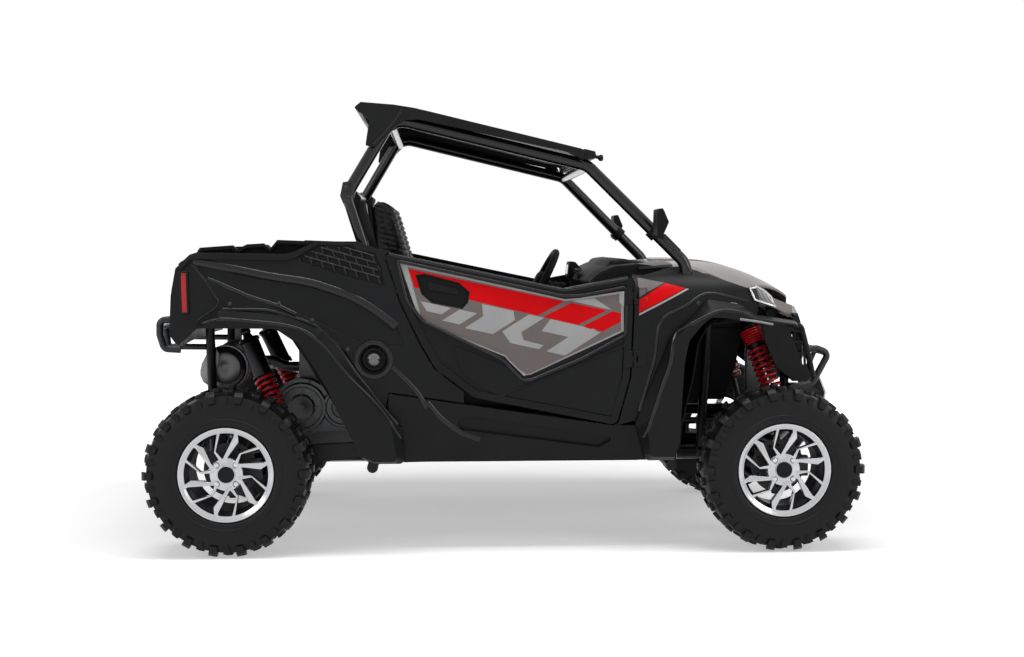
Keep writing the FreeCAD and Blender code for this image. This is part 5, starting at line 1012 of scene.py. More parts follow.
def dipped(piece, depth_at):
    """Presses seams and channels into a pad: depth_at gives the inward move of a point."""
    normals = [vertex.normal.copy() for vertex in piece.data.vertices]
    for vertex, normal in zip(piece.data.vertices, normals):
        vertex.co -= normal * depth_at(vertex.co, normal)
    piece.data.update()


def groove(distance, width, depth):
    """A smooth channel, deepest on its line."""
    return depth * math.exp(-(distance / width) ** 2)


def back_depth(point, normal):
    """Channels across the upper and lower back, a seam down each bolster and round the edge."""
    y = abs(point.y + SEAT_Y)
    lean = point.z + 0.28 * (point.x + 0.45)
    depth = 0.0
    if normal.x > -0.25:
        upper = lean > UPPER_BACK_Z
        across = 1.0 if upper else max(0.0, min(1.0, (BACK_SEAM_Y - y) / 0.02))
        depth = max(groove(lean - line, 0.0042, 0.0060) for line in UPPER_CHANNELS + LOWER_CHANNELS) * across
        if not upper:
            depth = max(depth, groove(y - BACK_SEAM_Y, 0.0055, 0.009))
    if abs(normal.x) < 0.6:
        rim = y - SEAT_HALF + 0.02
        depth = max(depth, groove(rim - 0.004, 0.004, 0.003))
    return depth


def cushion_depth(point, normal):
    """Channels across the cushion and a seam inside each bolster."""
    y = abs(point.y + SEAT_Y)
    depth = 0.0
    if normal.z > 0.2:
        across = max(0.0, min(1.0, (CUSHION_SEAM_Y - y) / 0.02))
        depth = max(groove(point.x - line, 0.0055, 0.008) for line in CUSHION_CHANNELS) * across
        depth = max(depth, groove(y - CUSHION_SEAM_Y, 0.0055, 0.009))
    return depth


def make_seats(scene):
    """The right-hand seat, padded by simulation, and its mirror image."""
    back = slab("Seat back", BACK_SIDE, SEAT_HALF - 0.012, -SEAT_Y)
    shaped(back, lambda c: c.z > 1.40, scale=(1, 0.55, 1), centre=(0, -SEAT_Y, 0))
    shaped(back, lambda c: 1.21 < c.z < 1.40, scale=(1, 0.80, 1), centre=(0, -SEAT_Y, 0))
    shaped(back, lambda c: c.z < 0.80, scale=(1, 0.93, 1), centre=(0, -SEAT_Y, 0))
    eased(back, 0.034, 4)
    cushion = slab("Seat cushion", CUSHION_SIDE, SEAT_HALF - 0.012, -SEAT_Y)
    eased(cushion, 0.034, 4)
    pads = []
    for pad, label, depth in ((back, "seat_back", back_depth), (cushion, "seat_cushion", cushion_depth)):
        pad = puffed(pad, 0.014)
        dipped(pad, depth)
        finished(pad, "SMOOTH", factor=0.3, iterations=1)
        smoothed(pad, 80.0)
        pads.append((pad, label))
    for pad, label in pads:
        pad.name = label + "_right"
        left = copied(pad, label + "_left", MIRROR)
        for piece, side in ((pad, "right"), (left, "left")):
            settle(piece, FINISHES["vinyl"], "root", "seat_" + side)
    shell = slab("Seat shell", SHELL_SIDE, SEAT_HALF - 0.02, -SEAT_Y)
    shaped(shell, lambda c: c.z > 1.40, scale=(1, 0.66, 1), centre=(0, -SEAT_Y, 0))
    shaped(shell, lambda c: 1.21 < c.z < 1.40, scale=(1, 0.88, 1), centre=(0, -SEAT_Y, 0))
    eased(shell, 0.004, 2)
    smoothed(shell, 40.0)
    shell.name = "seat_shell_right"
    settle(copied(shell, "seat_shell_left", MIRROR), FINISHES["interior"], "root")
    settle(shell, FINISHES["interior"], "root")


def strap(name, points, width, normal=(0, 1, 0)):
    """Flat webbing along points, its width square to the normal at each run."""
    piece = drawn(name, points)
    edit(piece, ("bevel", {"offset": 0.02, "segments": 5, "affect": "VERTICES"}))
    finished(piece, "SUBSURF", levels=1, render_levels=1)
    across = (Vector(points[-1]) - Vector(points[0])).cross(Vector(normal)).normalized() * width
    edit(piece, ("extrude_region_move", {"TRANSFORM_OT_translate": {"value": across}}))
    return finished(piece, "SOLIDIFY", thickness=0.0022, offset=0.0)


def make_belts(scene):
    """Shoulder webbing with its guide, retractor, tongue and buckle, for each seat."""
    shoulder = strap("Shoulder webbing", [(-0.628, -0.548, 1.440), (-0.588, -0.556, 1.288), (-0.545, -0.540, 1.120),
                                          (-0.500, -0.556, 0.900), (-0.440, -0.570, 0.700)], 0.046, (0.45, 1, 0))
    guide = started("torus", "Belt guide", major_radius=0.030, minor_radius=0.006, major_segments=32,
                    minor_segments=10, location=(-0.640, -0.548, 1.448), rotation=(math.pi / 2, 0.5, 0))
    plate = slab("Guide plate", [(-650, 1430), (-625, 1420), (-600, 1465), (-622, 1490), (-648, 1478)], 0.004, -0.560)
    reel = spun("Retractor", [(-0.026, 0.0001), (-0.026, 0.030), (-0.023, 0.034), (0.023, 0.034), (0.026, 0.030),
                              (0.026, 0.0001)], Vector((-0.440, -0.556, 0.680)), (0, 1, 0), 36)
    stalk = slab("Buckle", [(-205, 700), (-185, 700), (-168, 770), (-172, 815), (-205, 815), (-208, 770)],
                 0.013, -0.074)
    eased(stalk, 0.004, 2)
    eased(plate, 0.0015, 2)
    tongue = slab("Tongue", [(-200, 805), (-176, 805), (-176, 835), (-200, 835)], 0.0015, -0.074)
    groups = [(shoulder, "belt_webbing", FINISHES["webbing"]),
              (merged([guide, plate, reel, stalk], "Fittings"), "belt_fittings", FINISHES["interior"]),
              (tongue, "belt_tongue", FINISHES["chrome"])]
    for part, label, material in groups:
        smoothed(part, 40.0)
        part.name = label + "_right"
        settle(copied(part, label + "_left", MIRROR), material, "root")
        settle(part, material, "root")


# Lamps

# The lens is laid on the lamp and fender at these (x, z) in millimetres, and then lifted
LAMP_LENS = [(1012, 1074), (1056, 1082), (1096, 1062), (1132, 1036), (1148, 1002), (1118, 999), (1030, 1028)]
LAMP_RISE = 0.013
def make_lamps(scene):
    """Plated surround, smoked glass and light bar of each head lamp, and the tail lamps' frames."""
    edge = [(x, y - 0.002, z + LAMP_RISE)
            for x, y, z in on_skin(LAMP_LENS + LAMP_LENS[:1], 0.0, "headlamps", "front_fender_right", step=22.0)]
    both(piped("Lamp surround", edge, 0.0062), "lamp_surround", FINISHES["chrome"])
    glass = drawn("Lamp glass", [(x, y - 0.001, z) for x, y, z in edge[:-1]], closed=True)
    edit(glass, ("quads_convert_to_tris", {}))
    finished(glass, "SOLIDIFY", thickness=0.002, offset=0.0)
    both(glass, "lamp_glass", FINISHES["smoked"])
    inner = on_skin([(1050, 1066), (1092, 1046), (1122, 1026)], 0.006, "headlamps", "front_fender_right")
    both(piped("Lamp bar", [(x, y, z + LAMP_RISE) for x, y, z in inner], 0.0060), "lamp_bar", FINISHES["lit"])
    tail = [(-1334, 1160), (-1304, 1160), (-1298, 992), (-1328, 990)]
    frames = piped("Tail lamp frame", on_body(tail, 0.003), 0.005, 0.006, True)
    both(frames, "tail_lamp_frame", FINISHES["charcoal"])


# Body trim, along lines of (x, z) in millimetres

SHOULDER_CREASE = [(-1276, 1203), (-1121, 1174), (-980, 1143), (-796, 1117), (-710, 1086), (-648, 1067),
                   (-567, 1023), (-506, 980), (-455, 937)]
ROOF_CREASE = [(-428, 1826), (-457, 1780), (-502, 1727), (-548, 1681)]
LOWER_CREASE = [(-1220, 1131), (-1122, 1093), (-1049, 1053), (-932, 1028), (-859, 987)]
TAIL_SEAM = [(-1287, 1192), (-1229, 1124), (-1175, 1043), (-1182, 1018), (-1262, 962)]
FILLER_CREASES = [[(-473, 771), (-430, 732), (-359, 655), (-335, 600)],
                  [(-330, 627), (-277, 560), (-196, 497), (-113, 467)]]
REAR_CREST = [(-1254, 948), (-1165, 974), (-1053, 965), (-908, 950), (-815, 923), (-750, 869), (-638, 728),
              (-552, 640), (-498, 578), (-440, 483)]
REAR_EDGE = [(-1161, 1007), (-976, 1006), (-903, 986), (-810, 955), (-757, 932), (-685, 847), (-619, 746),
             (-499, 590), (-452, 535)]
FRONT_CREST = [(561, 483), (575, 512), (643, 725), (663, 771), (679, 892), (728, 935), (814, 980), (866, 1003),
               (907, 1003), (988, 983)]
FRONT_EDGE = [(547, 581), (610, 807), (621, 935), (644, 975), (748, 1021), (795, 1059), (824, 1073), (870, 1066),
              (999, 1035)]
DOOR_BEAD = [(-451, 1206), (-428, 1200), (229, 1060), (300, 1062), (486, 1096), (492, 1080), (486, 900), (300, 800),
             (96, 716), (60, 714), (-20, 800), (-346, 958), (-412, 1044)]
DOOR_TOP = [(-484, 1232), (-437, 1220), (232, 1082), (300, 1094), (496, 1130)]
DOOR_CREASE = [(-130, 655), (-50, 640), (100, 700), (300, 780), (486, 858)]
REAR_BOLTS = [(-1128, 1030), (-929, 1033), (-794, 965), (-651, 846)]
FRONT_BOLTS = [(789, 1030), (966, 1012)]


def on_body(points, lift=0.0):
    """Places on the right-hand body side, in metres, from points (x, z) in millimetres."""
    return [(x / 1000, -body_half(x / 1000, z / 1000) - lift, z / 1000) for x, z in points]


# The vent's upper edge and the slant of its rows, in millimetres
VENT_TOP = [(-866, 1206), (-776, 1262), (-632, 1262), (-618, 1247), (-542, 1234), (-505, 1104)]
VENT_PITCH = 27.0
VENT_FOOT = (-505, 1106)
VENT_SLOPE = 0.282
BRICK_LENGTH = 46
BRICK_LEAN = 9


def vent_row(index, x):
    """The z of a row of the mesh at this x, in millimetres; the rows run with the vent's lower edge."""
    return VENT_FOOT[1] + VENT_SLOPE * (VENT_FOOT[0] - x) + VENT_PITCH * index


def make_vents(scene):
    """The slanted brick mesh let into the rear quarters below the bed rim."""
    bars = []
    for index in range(1, 6):
        inside = [x for x in range(-856, VENT_FOOT[0], 8) if vent_row(index, x) < height_on(VENT_TOP, x) - 3]
        if len(inside) > 2:
            ends = (inside[0], inside[-1])
            bars.append(piped("Vent row", on_body([(x, vent_row(index, x)) for x in ends]), 0.0040))
    for index in range(6):
        for place in range(9):
            x = -850 + BRICK_LENGTH * place + (BRICK_LENGTH // 2 if index % 2 else 0)
            if x > VENT_FOOT[0] - 11:
                continue
            top = min(vent_row(index + 1, x), height_on(VENT_TOP, x))
            foot = vent_row(index, x + BRICK_LEAN)
            if top > foot + 9:
                bars.append(piped("Vent bar", on_body([(x, top), (x + BRICK_LEAN, foot)]), 0.0034))
    both(merged(bars, "Vent mesh"), "vent_mesh", FINISHES["gloss"])


def height_on(line, x):
    """The z of a line of points (x, z) at this x."""
    for (x0, z0), (x1, z1) in zip(line, line[1:]):
        if x0 <= x <= x1:
            return z0 + (z1 - z0) * (x - x0) / (x1 - x0)
    return line[0][1]


def bolt(place, along, size=0.009):
    """A flanged hexagon bolt head that stands on a surface, facing along."""
    head = started("cylinder", "Bolt", vertices=6, radius=size * 0.62, depth=size * 0.7, location=(0, 0, size * 0.45))
    eased(head, size * 0.1, 2, 40.0)
    flange = started("cylinder", "Bolt flange", vertices=20, radius=size, depth=size * 0.3,
                     location=(0, 0, size * 0.1))
    eased(flange, size * 0.08, 2, 40.0)
    whole = merged([flange, head], "Bolt")
    matrix = Matrix.Translation(place) @ Vector(along).to_track_quat("Z", "Y").to_matrix().to_4x4()
    made = copied(whole, "Bolt", matrix)
    bpy.data.objects.remove(whole)
    return made


def surface_y(x, z, *names):
    """The outermost y of the nodes on the right-hand side at (x, z), and which way the skin faces there."""
    found = []
    for name in names:
        hit, place, normal, _ = NODES[name].ray_cast(Vector((x, -1.2, z)), Vector((0, 1, 0)))
        if hit and place.y < -0.4:
            found.append((place.y, normal))
    return min(found, key=lambda pair: pair[0]) if found else (-body_half(x, z), Vector((0, -1, 0)))


def on_skin(points, lift, *names, step=35.0, rounds=0):
    """Places along points (x, z) in millimetres, laid on the skin of the nodes every step, corners rounded off."""
    places = []
    for (x0, z0), (x1, z1) in zip(points, points[1:]):
        parts = max(1, round(math.hypot(x1 - x0, z1 - z0) / step))
        places += [(x0 + (x1 - x0) * part / parts, z0 + (z1 - z0) * part / parts) for part in range(parts)]
    places.append(points[-1])
    for _ in range(rounds):
        places = places[:1] + [tuple((a + 2 * b + c) / 4 for a, b, c in zip(*three))
                               for three in zip(places, places[1:], places[2:])] + places[-1:]
    laid = [(x / 1000, surface_y(x / 1000, z / 1000, *names)[0] - lift, z / 1000) for x, z in places]
    for _ in range(rounds):
        laid = laid[:1] + [(here[0], min(here[1], (before[1] + 2 * here[1] + after[1]) / 4), here[2])
                           for before, here, after in zip(laid, laid[1:], laid[2:])] + laid[-1:]
    return laid


def make_trim(scene):
    """Beads and creases of the body side, its bolts and the seams that catch the light, with pale pieces painted as
    highlights on the fuel cap and along the front arch.
    """
    quarter = ("rear_quarter_right", "rear_flare_right")
    shoulder = piped("Shoulder crease", on_skin(SHOULDER_CREASE, -0.0175, *quarter, step=24.0, rounds=5), 0.0235)
    lower = piped("Lower crease", on_skin(LOWER_CREASE, -0.0065, *quarter, step=60.0, rounds=1), 0.0115)
    folds = [piped("Filler crease", on_skin(points, -0.010, *quarter, step=24.0, rounds=2), 0.0145)
             for points in FILLER_CREASES]
    both(merged([shoulder, lower] + folds, "Creases"), "quarter_creases", FINISHES["gloss"])
    seam = piped("Tail seam", on_skin(TAIL_SEAM, -0.001, *quarter), 0.0035)
    rear = [piped("Flare edge", on_skin(points, -0.0065, *quarter, step=24.0, rounds=2), 0.0095)
            for points in (REAR_CREST, REAR_EDGE)]
    both(merged([seam] + rear, "Rear edges"), "rear_edges", FINISHES["gloss"])
    fender = ("front_fender_right", "front_flare_right")
    front = [piped("Flare edge", on_skin(points, -0.0065, *fender, step=24.0, rounds=2), 0.0095)
             for points in (FRONT_CREST, FRONT_EDGE)]
    both(merged(front, "Front edges"), "front_edges", FINISHES["gloss"])
    bead = piped("Door bead", on_body(DOOR_BEAD, -0.003), 0.0075, 0.014, True)
    both(bead, "door_bead", FINISHES["gloss"], "door_right")
    top = piped("Door top", on_body(DOOR_TOP, -0.004), 0.0085, 0.02)
    both(top, "door_top_rail", FINISHES["gloss"], "door_right")
    fold = piped("Door crease", on_body(DOOR_CREASE, -0.0045), 0.0065, 0.02)
    both(fold, "door_crease", FINISHES["charcoal"], "door_right")
    cup = spun("Filler cup", [(0.010, 0.0545), (0.004, 0.0560), (-0.004, 0.062), (-0.0055, 0.070), (-0.003, 0.078),
                              (0.006, 0.082), (0.010, 0.080), (0.010, 0.0545)],
               Vector((FILLER_X, surface_y(-0.63, FILLER_Z, "rear_quarter_right")[0], FILLER_Z)), steps=64)
    both(smoothed(cup, 40.0), "filler_cup", FINISHES["gloss"])
    # Pale metal dome in the middle of the fuel cap: a painted highlight, the reflection on a glossy black cap painted
    # as pale metal
    dome = spun("Cap highlight dome", [(0.012, 0.0001), (-0.003, 0.0001), (-0.002, 0.012), (0.001, 0.021), (0.006, 0.027),
                             (0.012, 0.029)],
                Vector((FILLER_X, surface_y(FILLER_X, FILLER_Z, "fuel_cap", "rear_quarter_right")[0], FILLER_Z)),
                steps=40)
    both(smoothed(dome, 50.0), "cap_highlight_dome", FINISHES["muffler"])
    crest = [(x / 1000, -0.6125, z / 1000) for x, z in ROOF_CREASE]
    both(piped("Roof crease", crest, 0.005, 0.012), "roof_crease", FINISHES["gloss"])
    # Pale steel bead along the top of the front arch: a painted highlight, the reflection that the arch's upper front
    # catches there
    strip = on_skin([(948, 966), (1030, 955), (1086, 944)], 0.0, "front_flare_right", "front_fascia")
    both(piped("Wing highlight strip", strip, 0.0055, 0.01), "wing_highlight_strip", FINISHES["shield"])
    heads = []
    for node, places in (("rear_flare_right", REAR_BOLTS), ("front_flare_right", FRONT_BOLTS)):
        for x, z in places:
            y, normal = surface_y(x / 1000, z / 1000, node)
            heads.append(bolt((x / 1000, y, z / 1000), normal, 0.0085))
    both(smoothed(merged(heads, "Bolts"), 30.0), "flare_bolts", FINISHES["steel"])


def make_cage_fittings(scene):
    """Bolted joint plates on the cage and the roof's catches."""
    heads = []
    for x, y, z in ((-0.660, -0.622, 1.500), (-0.652, -0.622, 1.462), (0.700, -0.618, 1.248), (0.672, -0.618, 1.276)):
        heads.append(bolt((x, y, z), (0, -1, 0), 0.0095))
    plate = slab("Joint plate", [(-684, 1470), (-672, 1440), (-640, 1440), (-634, 1476), (-646, 1530), (-672, 1526)],
                 0.003, -0.619)
    front_plate = slab("Pillar joint", [(640, 1300), (660, 1316), (728, 1248), (712, 1228)], 0.003, -0.615)
    eased(plate, 0.0015, 2)
    eased(front_plate, 0.0015, 2)
    both(smoothed(merged([plate, front_plate] + heads, "Joints"), 30.0), "cage_joints", FINISHES["cage"])
    catch = piped("Roof catch", [(0.300, -0.545, 1.664), (0.352, -0.552, 1.640), (0.392, -0.556, 1.634)],
                  0.0075, 0.01)
    knob = started("uv_sphere", "Catch knob", segments=20, ring_count=12, radius=0.014,
                   location=(0.398, -0.556, 1.632))
    shaped(knob, lambda c: c.x > 0.402, scale=(0.6, 1, 1), centre=(0.402, -0.556, 1.632))
    both(smoothed(merged([catch, knob], "Catch"), 40.0), "roof_catch", FINISHES["charcoal"])


# Machinery and cabin

def make_machinery(scene):
    """Cooling fins, belt housing ribs, cover bolts and the muffler's strap and shield."""
    fins = []
    for row in range(7):
        height = 808 + row * 12
        outline = [(-868, height), (-634, height), (-640, height + 4), (-862, height + 4)]
        fins.append(slab("Fin", outline, 0.178, 0.010))
    settle(eased(merged(fins, "cylinder_fins"), 0.001, 1), FINISHES["engine"], "root")
    cover = spun("Belt cover", [(0.002, 0.0001), (-0.012, 0.030), (-0.014, 0.050), (-0.004, 0.060), (-0.004, 0.088),
                                (-0.010, 0.092), (-0.010, 0.104), (0.0, 0.110), (0.004, 0.110), (0.004, 0.0001)],
                 Vector((BELT_COVER_X, -0.292, COVER_Z)), steps=56)
    second = spun("Clutch cover", [(0.002, 0.0001), (-0.010, 0.026), (-0.012, 0.044), (-0.003, 0.052),
                                   (-0.003, 0.072), (-0.008, 0.076), (-0.008, 0.086), (0.002, 0.092),
                                   (0.004, 0.092), (0.004, 0.0001)],
                  Vector((CLUTCH_COVER_X, -0.292, COVER_Z)), steps=56)
    spokes = ringed(slab("Cover rib", [(-884, 595), (-876, 595), (-876, 648), (-884, 648)], 0.006, -0.294),
                    "Cover ribs", 8, Vector((BELT_COVER_X, -0.294, COVER_Z)))
    middle_x = (BELT_COVER_X + CLUTCH_COVER_X) / 2
    heads = [bolt((middle_x + 0.17825 * math.cos(turn), -0.290, COVER_Z + 0.118 * math.sin(turn)), (0, -1, 0), 0.008)
             for turn in (0.5, 1.2, 1.9, 2.6, 3.7, 4.4, 5.1, 5.8)]
    housing = smoothed(merged([cover, second, spokes] + heads, "belt_cover_trim"), 30.0)
    settle(housing, FINISHES["engine"], "root")
    straps = []
    for y in (-0.150, 0.150):
        band = spun("Muffler band", [(-0.012, 0.0945), (-0.012, 0.0975), (0.012, 0.0975), (0.012, 0.0945),
                                     (-0.012, 0.0945)], Vector((MUFFLER_X, y, MUFFLER_Z)), steps=56)
        straps.append(band)
    cap = spun("Muffler end", [(0.004, 0.0001), (-0.004, 0.030), (-0.006, 0.060), (-0.002, 0.070), (0.010, 0.074),
                               (0.010, 0.0001)], Vector((MUFFLER_X, -0.238, MUFFLER_Z)), steps=56)
    ring = spun("Muffler seam", [(-0.004, 0.0925), (-0.004, 0.0985), (0.004, 0.0985), (0.004, 0.0925),
                                 (-0.004, 0.0925)], Vector((MUFFLER_X, -0.212, MUFFLER_Z)), steps=56)
    settle(smoothed(merged(straps + [cap, ring], "muffler_trim"), 30.0), FINISHES["muffler"], "root")
    shield = slab("Heat shield", [(-1324, 700), (-1318, 748), (-1294, 794), (-1254, 820), (-1240, 796), (-1246, 746),
                                  (-1262, 692), (-1288, 652), (-1312, 670)], 0.003, -0.250)
    shield.name = "muffler_shield"
    settle(smoothed(eased(shield, 0.003, 2), 30.0), FINISHES["shield"], "root")


# Side outlines of the dash and of the cowl on it, (x, z) in millimetres
DASH_BASE = [(366, 1092), (354, 1104), (360, 1124), (397, 1153), (460, 1181), (560, 1190), (655, 1178), (655, 1090),
             (560, 1050), (500, 930), (440, 900), (400, 960)]
DASH_HUMP = [(417, 1110), (427, 1149), (466, 1202), (520, 1209), (629, 1192), (640, 1100)]


def make_cabin(scene):
    """The steering grip and its pad, the dash with its dial and vent, the grab bar and the shift lever."""
    away = Vector((math.cos(STEERING_TILT), 0, -math.sin(STEERING_TILT)))
    pad = spun("Wheel pad", [(-0.030, 0.0001), (-0.030, 0.030), (-0.024, 0.044), (-0.006, 0.048), (0.004, 0.040),
                             (0.004, 0.0001)], STEERING_CENTRE - away * 0.004, away, 40)
    grip = started("torus", "Grip", major_radius=0.158, minor_radius=0.0175, major_segments=96, minor_segments=20,
                   rotation=(0, math.pi / 2, 0))
    stitches = ringed(started("torus", "Stitch", major_radius=0.0186, minor_radius=0.0012, major_segments=20,
                              minor_segments=6, location=(0, 0, 0.158), rotation=(0, math.pi / 2, 0)),
                      "Stitches", 24, ORIGIN, axis="X")
    lay = Matrix.Translation(STEERING_CENTRE) @ Matrix.Rotation(STEERING_TILT, 4, "Y")
    rim = copied(merged([grip, stitches], "Rim"), "Rim grip", lay)
    bpy.data.objects.remove(bpy.data.objects["Rim"])
    settle(smoothed(merged([pad, rim], "wheel_grip"), 30.0), FINISHES["interior"], "steering_wheel")
    base = slab("Dash base", DASH_BASE, 0.545)
    eased(base, 0.012, 3)
    hump = slab("Dash hump", DASH_HUMP, 0.400, 0.030)
    eased(hump, 0.016, 3)
    seam = slab("Glove box", [(364, 1000), (372, 1000), (360, 1086), (352, 1086)], 0.150, -0.320)
    eased(seam, 0.003, 2)
    settle(smoothed(merged([base, hump, seam], "dash_shell"), 30.0), FINISHES["interior"], "root", "dashboard")
    pod = slab("Dial pod", [(338, 1118), (346, 1186), (372, 1187), (436, 1116), (440, 1080), (380, 1080)],
               0.084, STEERING_CENTRE.y)
    eased(pod, 0.005, 2)
    pod.name = "dial_pod"
    settle(smoothed(pod, 30.0), FINISHES["interior"], "root")
    glass = slab("Dial glass", [(335, 1128), (340, 1172), (345, 1172), (340, 1128)], 0.066, STEERING_CENTRE.y)
    glass.name = "dial_glass"
    settle(eased(glass, 0.001, 2), FINISHES["smoked"], "root")
    hold = piped("Grab bar", [(0.420, -0.470, 1.060), (0.350, -0.470, 1.045), (0.330, -0.450, 1.040),
                              (0.330, -0.190, 1.040), (0.350, -0.170, 1.045), (0.420, -0.170, 1.060)], 0.0125, 0.02)
    hold.name = "grab_bar"
    settle(hold, FINISHES["cage"], "root")
    lever = piped("Shift lever", [(0.360, 0.075, 0.980), (0.330, 0.075, 1.020), (0.300, 0.075, 1.060)], 0.007, 0.01)
    knob = started("uv_sphere", "Shift knob", segments=24, ring_count=14, radius=0.024,
                   location=(0.293, 0.075, 1.072))
    shaped(knob, lambda c: c.z < 1.072, scale=(0.72, 0.72, 1.35), centre=(0.293, 0.075, 1.072))
    settle(smoothed(merged([lever, knob], "shift_lever"), 40.0), FINISHES["interior"], "root")
    slats = [slab("Slat", [(349, 1130 + rise), (365, 1134 + rise), (365, 1137 + rise), (349, 1133 + rise)], 0.090)
             for rise in range(-22, 23, 11)]
    settle(merged(slats, "vent_middle"), FINISHES["interior"], "root")


# Studio

# Strength of the floor's own light under the vehicle, and the reach over which it grows to white
FLOOR_GLOW = 0.42
GLOW_REACH = (2.2, 4.8)
WORLD_LEVEL = 0.26
PHOTO_LENS = 48.41
PHOTO_PLACE = (-0.286, -6.315, 1.283)
PHOTO_AIM = Vector((0.0539, 0.9966, -0.0630))


def lamp(name, place, target, size, power):
    """A rectangular softbox aimed at a point."""
    data = bpy.data.lights.new(name, "AREA")
    data.shape = "RECTANGLE"
    data.size, data.size_y = size
    data.energy = power
    light = bpy.data.objects.new(name, data)
    bpy.context.scene.collection.objects.link(light)
    light.location = place
    light.rotation_euler = (Vector(target) - Vector(place)).to_track_quat("-Z", "Y").to_euler()


def seen_share(nodes, links):
    """1 for rays from the camera, from gloss and through glass, else 0."""
    path = nodes.new("ShaderNodeLightPath")
    first = calculated(nodes, links, "MAXIMUM", path.outputs["Is Camera Ray"], path.outputs["Is Glossy Ray"])
    return calculated(nodes, links, "MAXIMUM", first, path.outputs["Is Transmission Ray"])


def make_studio(scene):
    """A pale floor that keeps the shadow, a pale world, three softboxes and the camera."""
    settings = scene.vehicle_studio
    floor = started("plane", "Studio floor", size=60.0, location=(0, 0, -0.0005))
    material = bpy.data.materials.new("Pale studio floor")
    material.use_nodes = True
    nodes, links = material.node_tree.nodes, material.node_tree.links
    nodes.clear()
    output = nodes.new("ShaderNodeOutputMaterial")
    matt = nodes.new("ShaderNodeBsdfDiffuse")
    matt.inputs["Color"].default_value = (*settings.floor, 1.0)
    glow = nodes.new("ShaderNodeEmission")
    far = nodes.new("ShaderNodeVectorMath")
    far.operation = "LENGTH"
    links.new(object_place(nodes, links), far.inputs[0])
    level = spread(nodes, links, far.outputs["Value"], FLOOR_GLOW, 1.0, *GLOW_REACH)
    links.new(calculated(nodes, links, "MULTIPLY", seen_share(nodes, links), level), glow.inputs["Strength"])
    blend = nodes.new("ShaderNodeAddShader")
    links.new(matt.outputs["BSDF"], blend.inputs[0])
    links.new(glow.outputs["Emission"], blend.inputs[1])
    links.new(blend.outputs["Shader"], output.inputs["Surface"])
    set_finish(floor, material)
    world = bpy.data.worlds.new("Studio")
    scene.world = world
    world.use_nodes = True
    nodes, links = world.node_tree.nodes, world.node_tree.links
    nodes.clear()
    output = nodes.new("ShaderNodeOutputWorld")
    background = nodes.new("ShaderNodeBackground")
    background.inputs["Color"].default_value = (1, 1, 1, 1)
    links.new(spread(nodes, links, seen_share(nodes, links), WORLD_LEVEL, 1.0), background.inputs["Strength"])
    links.new(background.outputs["Background"], output.inputs["Surface"])
    lamp("Overhead softbox", (0.0, -1.2, 6.0), (0, 0, 0.8), (6.4, 1.5), settings.key_power)
    lamp("Front softbox", (4.8, -3.4, 3.0), (0.6, 0, 0.9), (1.6, 2.4), 60.0)
    lamp("Rear softbox", (-4.8, -3.0, 2.8), (-0.8, 0, 0.9), (1.6, 2.4), 45.0)
    scene.view_settings.view_transform = "Standard"
    make_camera(scene)


def make_camera(scene):
    """The camera at the photograph's angle, fitted to its wheels and body lines."""
    data = bpy.data.cameras.new("Photograph view")
    data.sensor_width = 36.0
    data.lens = PHOTO_LENS
    data.clip_end = 200.0
    camera = bpy.data.objects.new("Photograph view", data)
    scene.collection.objects.link(camera)
    camera.location = PHOTO_PLACE
    camera.rotation_euler = PHOTO_AIM.to_track_quat("-Z", "Y").to_euler()
    scene.camera = camera


# Operators, one for each group of pieces

class VEHICLE_OT_finishes(bpy.types.Operator):
    """Builds the finishes and gives every CAD node its own"""
    bl_idname = "vehicle.finishes"
    bl_label = "Finishes"

    def execute(self, context):
        build_finishes(context.scene)
        paint_nodes()
        return {"FINISHED"}


class VEHICLE_OT_tyres(bpy.types.Operator):
    """Makes the four lugged tyres"""
    bl_idname = "vehicle.tyres"
    bl_label = "Tyres"

    def execute(self, context):
        make_tyres(context.scene)
        return {"FINISHED"}


class VEHICLE_OT_wheels(bpy.types.Operator):
    """Makes the four cast wheels with their nuts, caps and discs"""
    bl_idname = "vehicle.wheels"
    bl_label = "Wheels"

    def execute(self, context):
        make_wheels(context.scene)
        return {"FINISHED"}


class VEHICLE_OT_film(bpy.types.Operator):
    """Lays the striped film on the doors and the front fenders"""
    bl_idname = "vehicle.film"
    bl_label = "Film"

    def execute(self, context):
        make_film(context.scene)
        return {"FINISHED"}


class VEHICLE_OT_shocks(bpy.types.Operator):
    """Makes the springs and dampers"""
    bl_idname = "vehicle.shocks"
    bl_label = "Springs"

    def execute(self, context):
        make_shocks(context.scene)
        return {"FINISHED"}


class VEHICLE_OT_seats(bpy.types.Operator):
    """Makes both padded seats and their shells"""
    bl_idname = "vehicle.seats"
    bl_label = "Seats"

    def execute(self, context):
        make_seats(context.scene)
        return {"FINISHED"}


class VEHICLE_OT_belts(bpy.types.Operator):
    """Makes the belts with their fittings"""
    bl_idname = "vehicle.belts"
    bl_label = "Belts"

    def execute(self, context):
        make_belts(context.scene)
        return {"FINISHED"}


class VEHICLE_OT_lamps(bpy.types.Operator):
    """Makes the lamps' surrounds, glass, light bars and frames"""
    bl_idname = "vehicle.lamps"
    bl_label = "Lamps"

    def execute(self, context):
        make_lamps(context.scene)
        return {"FINISHED"}


class VEHICLE_OT_vents(bpy.types.Operator):
    """Makes the mesh of the rear quarters"""
    bl_idname = "vehicle.vents"
    bl_label = "Vents"

    def execute(self, context):
        make_vents(context.scene)
        return {"FINISHED"}


class VEHICLE_OT_trim(bpy.types.Operator):
    """Makes the beads, creases and bolts of the body"""
    bl_idname = "vehicle.trim"
    bl_label = "Trim"

    def execute(self, context):
        make_trim(context.scene)
        return {"FINISHED"}


class VEHICLE_OT_cage_fittings(bpy.types.Operator):
    """Makes the cage joints and the roof catches"""
    bl_idname = "vehicle.cage_fittings"
    bl_label = "Cage fittings"

    def execute(self, context):
        make_cage_fittings(context.scene)
        return {"FINISHED"}


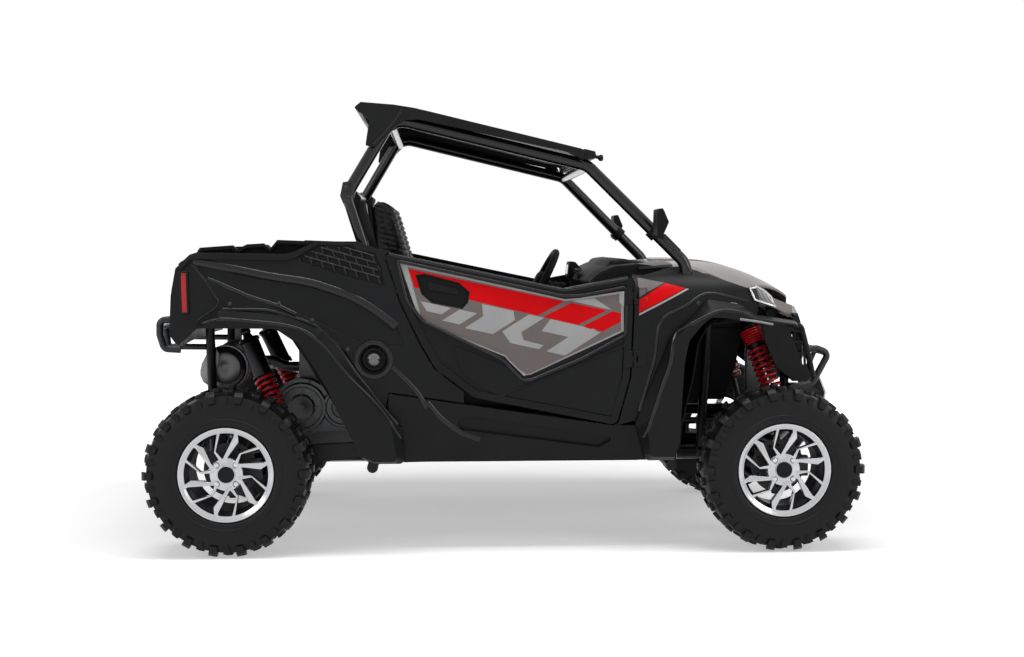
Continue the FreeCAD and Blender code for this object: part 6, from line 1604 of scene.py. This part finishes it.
class VEHICLE_OT_machinery(bpy.types.Operator):
    """Makes the fins, covers and the muffler's trim"""
    bl_idname = "vehicle.machinery"
    bl_label = "Machinery"

    def execute(self, context):
        make_machinery(context.scene)
        return {"FINISHED"}


class VEHICLE_OT_cabin(bpy.types.Operator):
    """Makes the steering grip, dash, dial, lever and grab bar"""
    bl_idname = "vehicle.cabin"
    bl_label = "Cabin"

    def execute(self, context):
        make_cabin(context.scene)
        return {"FINISHED"}


class VEHICLE_OT_studio(bpy.types.Operator):
    """Builds the floor, the lamps, the world and the camera"""
    bl_idname = "vehicle.studio"
    bl_label = "Studio"

    def execute(self, context):
        make_studio(context.scene)
        return {"FINISHED"}


OPERATORS = [VEHICLE_OT_finishes, VEHICLE_OT_tyres, VEHICLE_OT_wheels, VEHICLE_OT_film, VEHICLE_OT_shocks,
             VEHICLE_OT_seats, VEHICLE_OT_belts, VEHICLE_OT_lamps, VEHICLE_OT_vents, VEHICLE_OT_trim,
             VEHICLE_OT_cage_fittings, VEHICLE_OT_machinery, VEHICLE_OT_cabin, VEHICLE_OT_studio]


class VEHICLE_PT_dressing(bpy.types.Panel):
    """Lists what the add-on makes."""
    bl_label = "Side by side vehicle"
    bl_idname = "VEHICLE_PT_dressing"
    bl_space_type = "VIEW_3D"
    bl_region_type = "UI"
    bl_category = "Vehicle"

    def draw(self, context):
        for group in GROUPS:
            box = self.layout.box()
            settings = getattr(context.scene, group)
            for name in settings.bl_rna.properties.keys():
                if name not in ("rna_type", "name"):
                    box.prop(settings, name)
        for made in OPERATORS:
            self.layout.operator(made.bl_idname)


GROUPS = {"vehicle_tyre": TyreSizes, "vehicle_wheel": WheelSizes, "vehicle_body": BodyColours,
          "vehicle_seat": SeatSizes, "vehicle_studio": StudioSettings}


def register():
    for group in GROUPS.values():
        bpy.utils.register_class(group)
    for name, group in GROUPS.items():
        setattr(bpy.types.Scene, name, PointerProperty(type=group))
    for made in OPERATORS + [VEHICLE_PT_dressing]:
        bpy.utils.register_class(made)


def unregister():
    for made in [VEHICLE_PT_dressing] + OPERATORS[::-1]:
        bpy.utils.unregister_class(made)
    for name, group in GROUPS.items():
        delattr(bpy.types.Scene, name)
        bpy.utils.unregister_class(group)


def main():
    register()
    for made in OPERATORS:
        area, name = made.bl_idname.split(".")
        getattr(getattr(bpy.ops, area), name)()


if __name__ == "__main__":
    main()
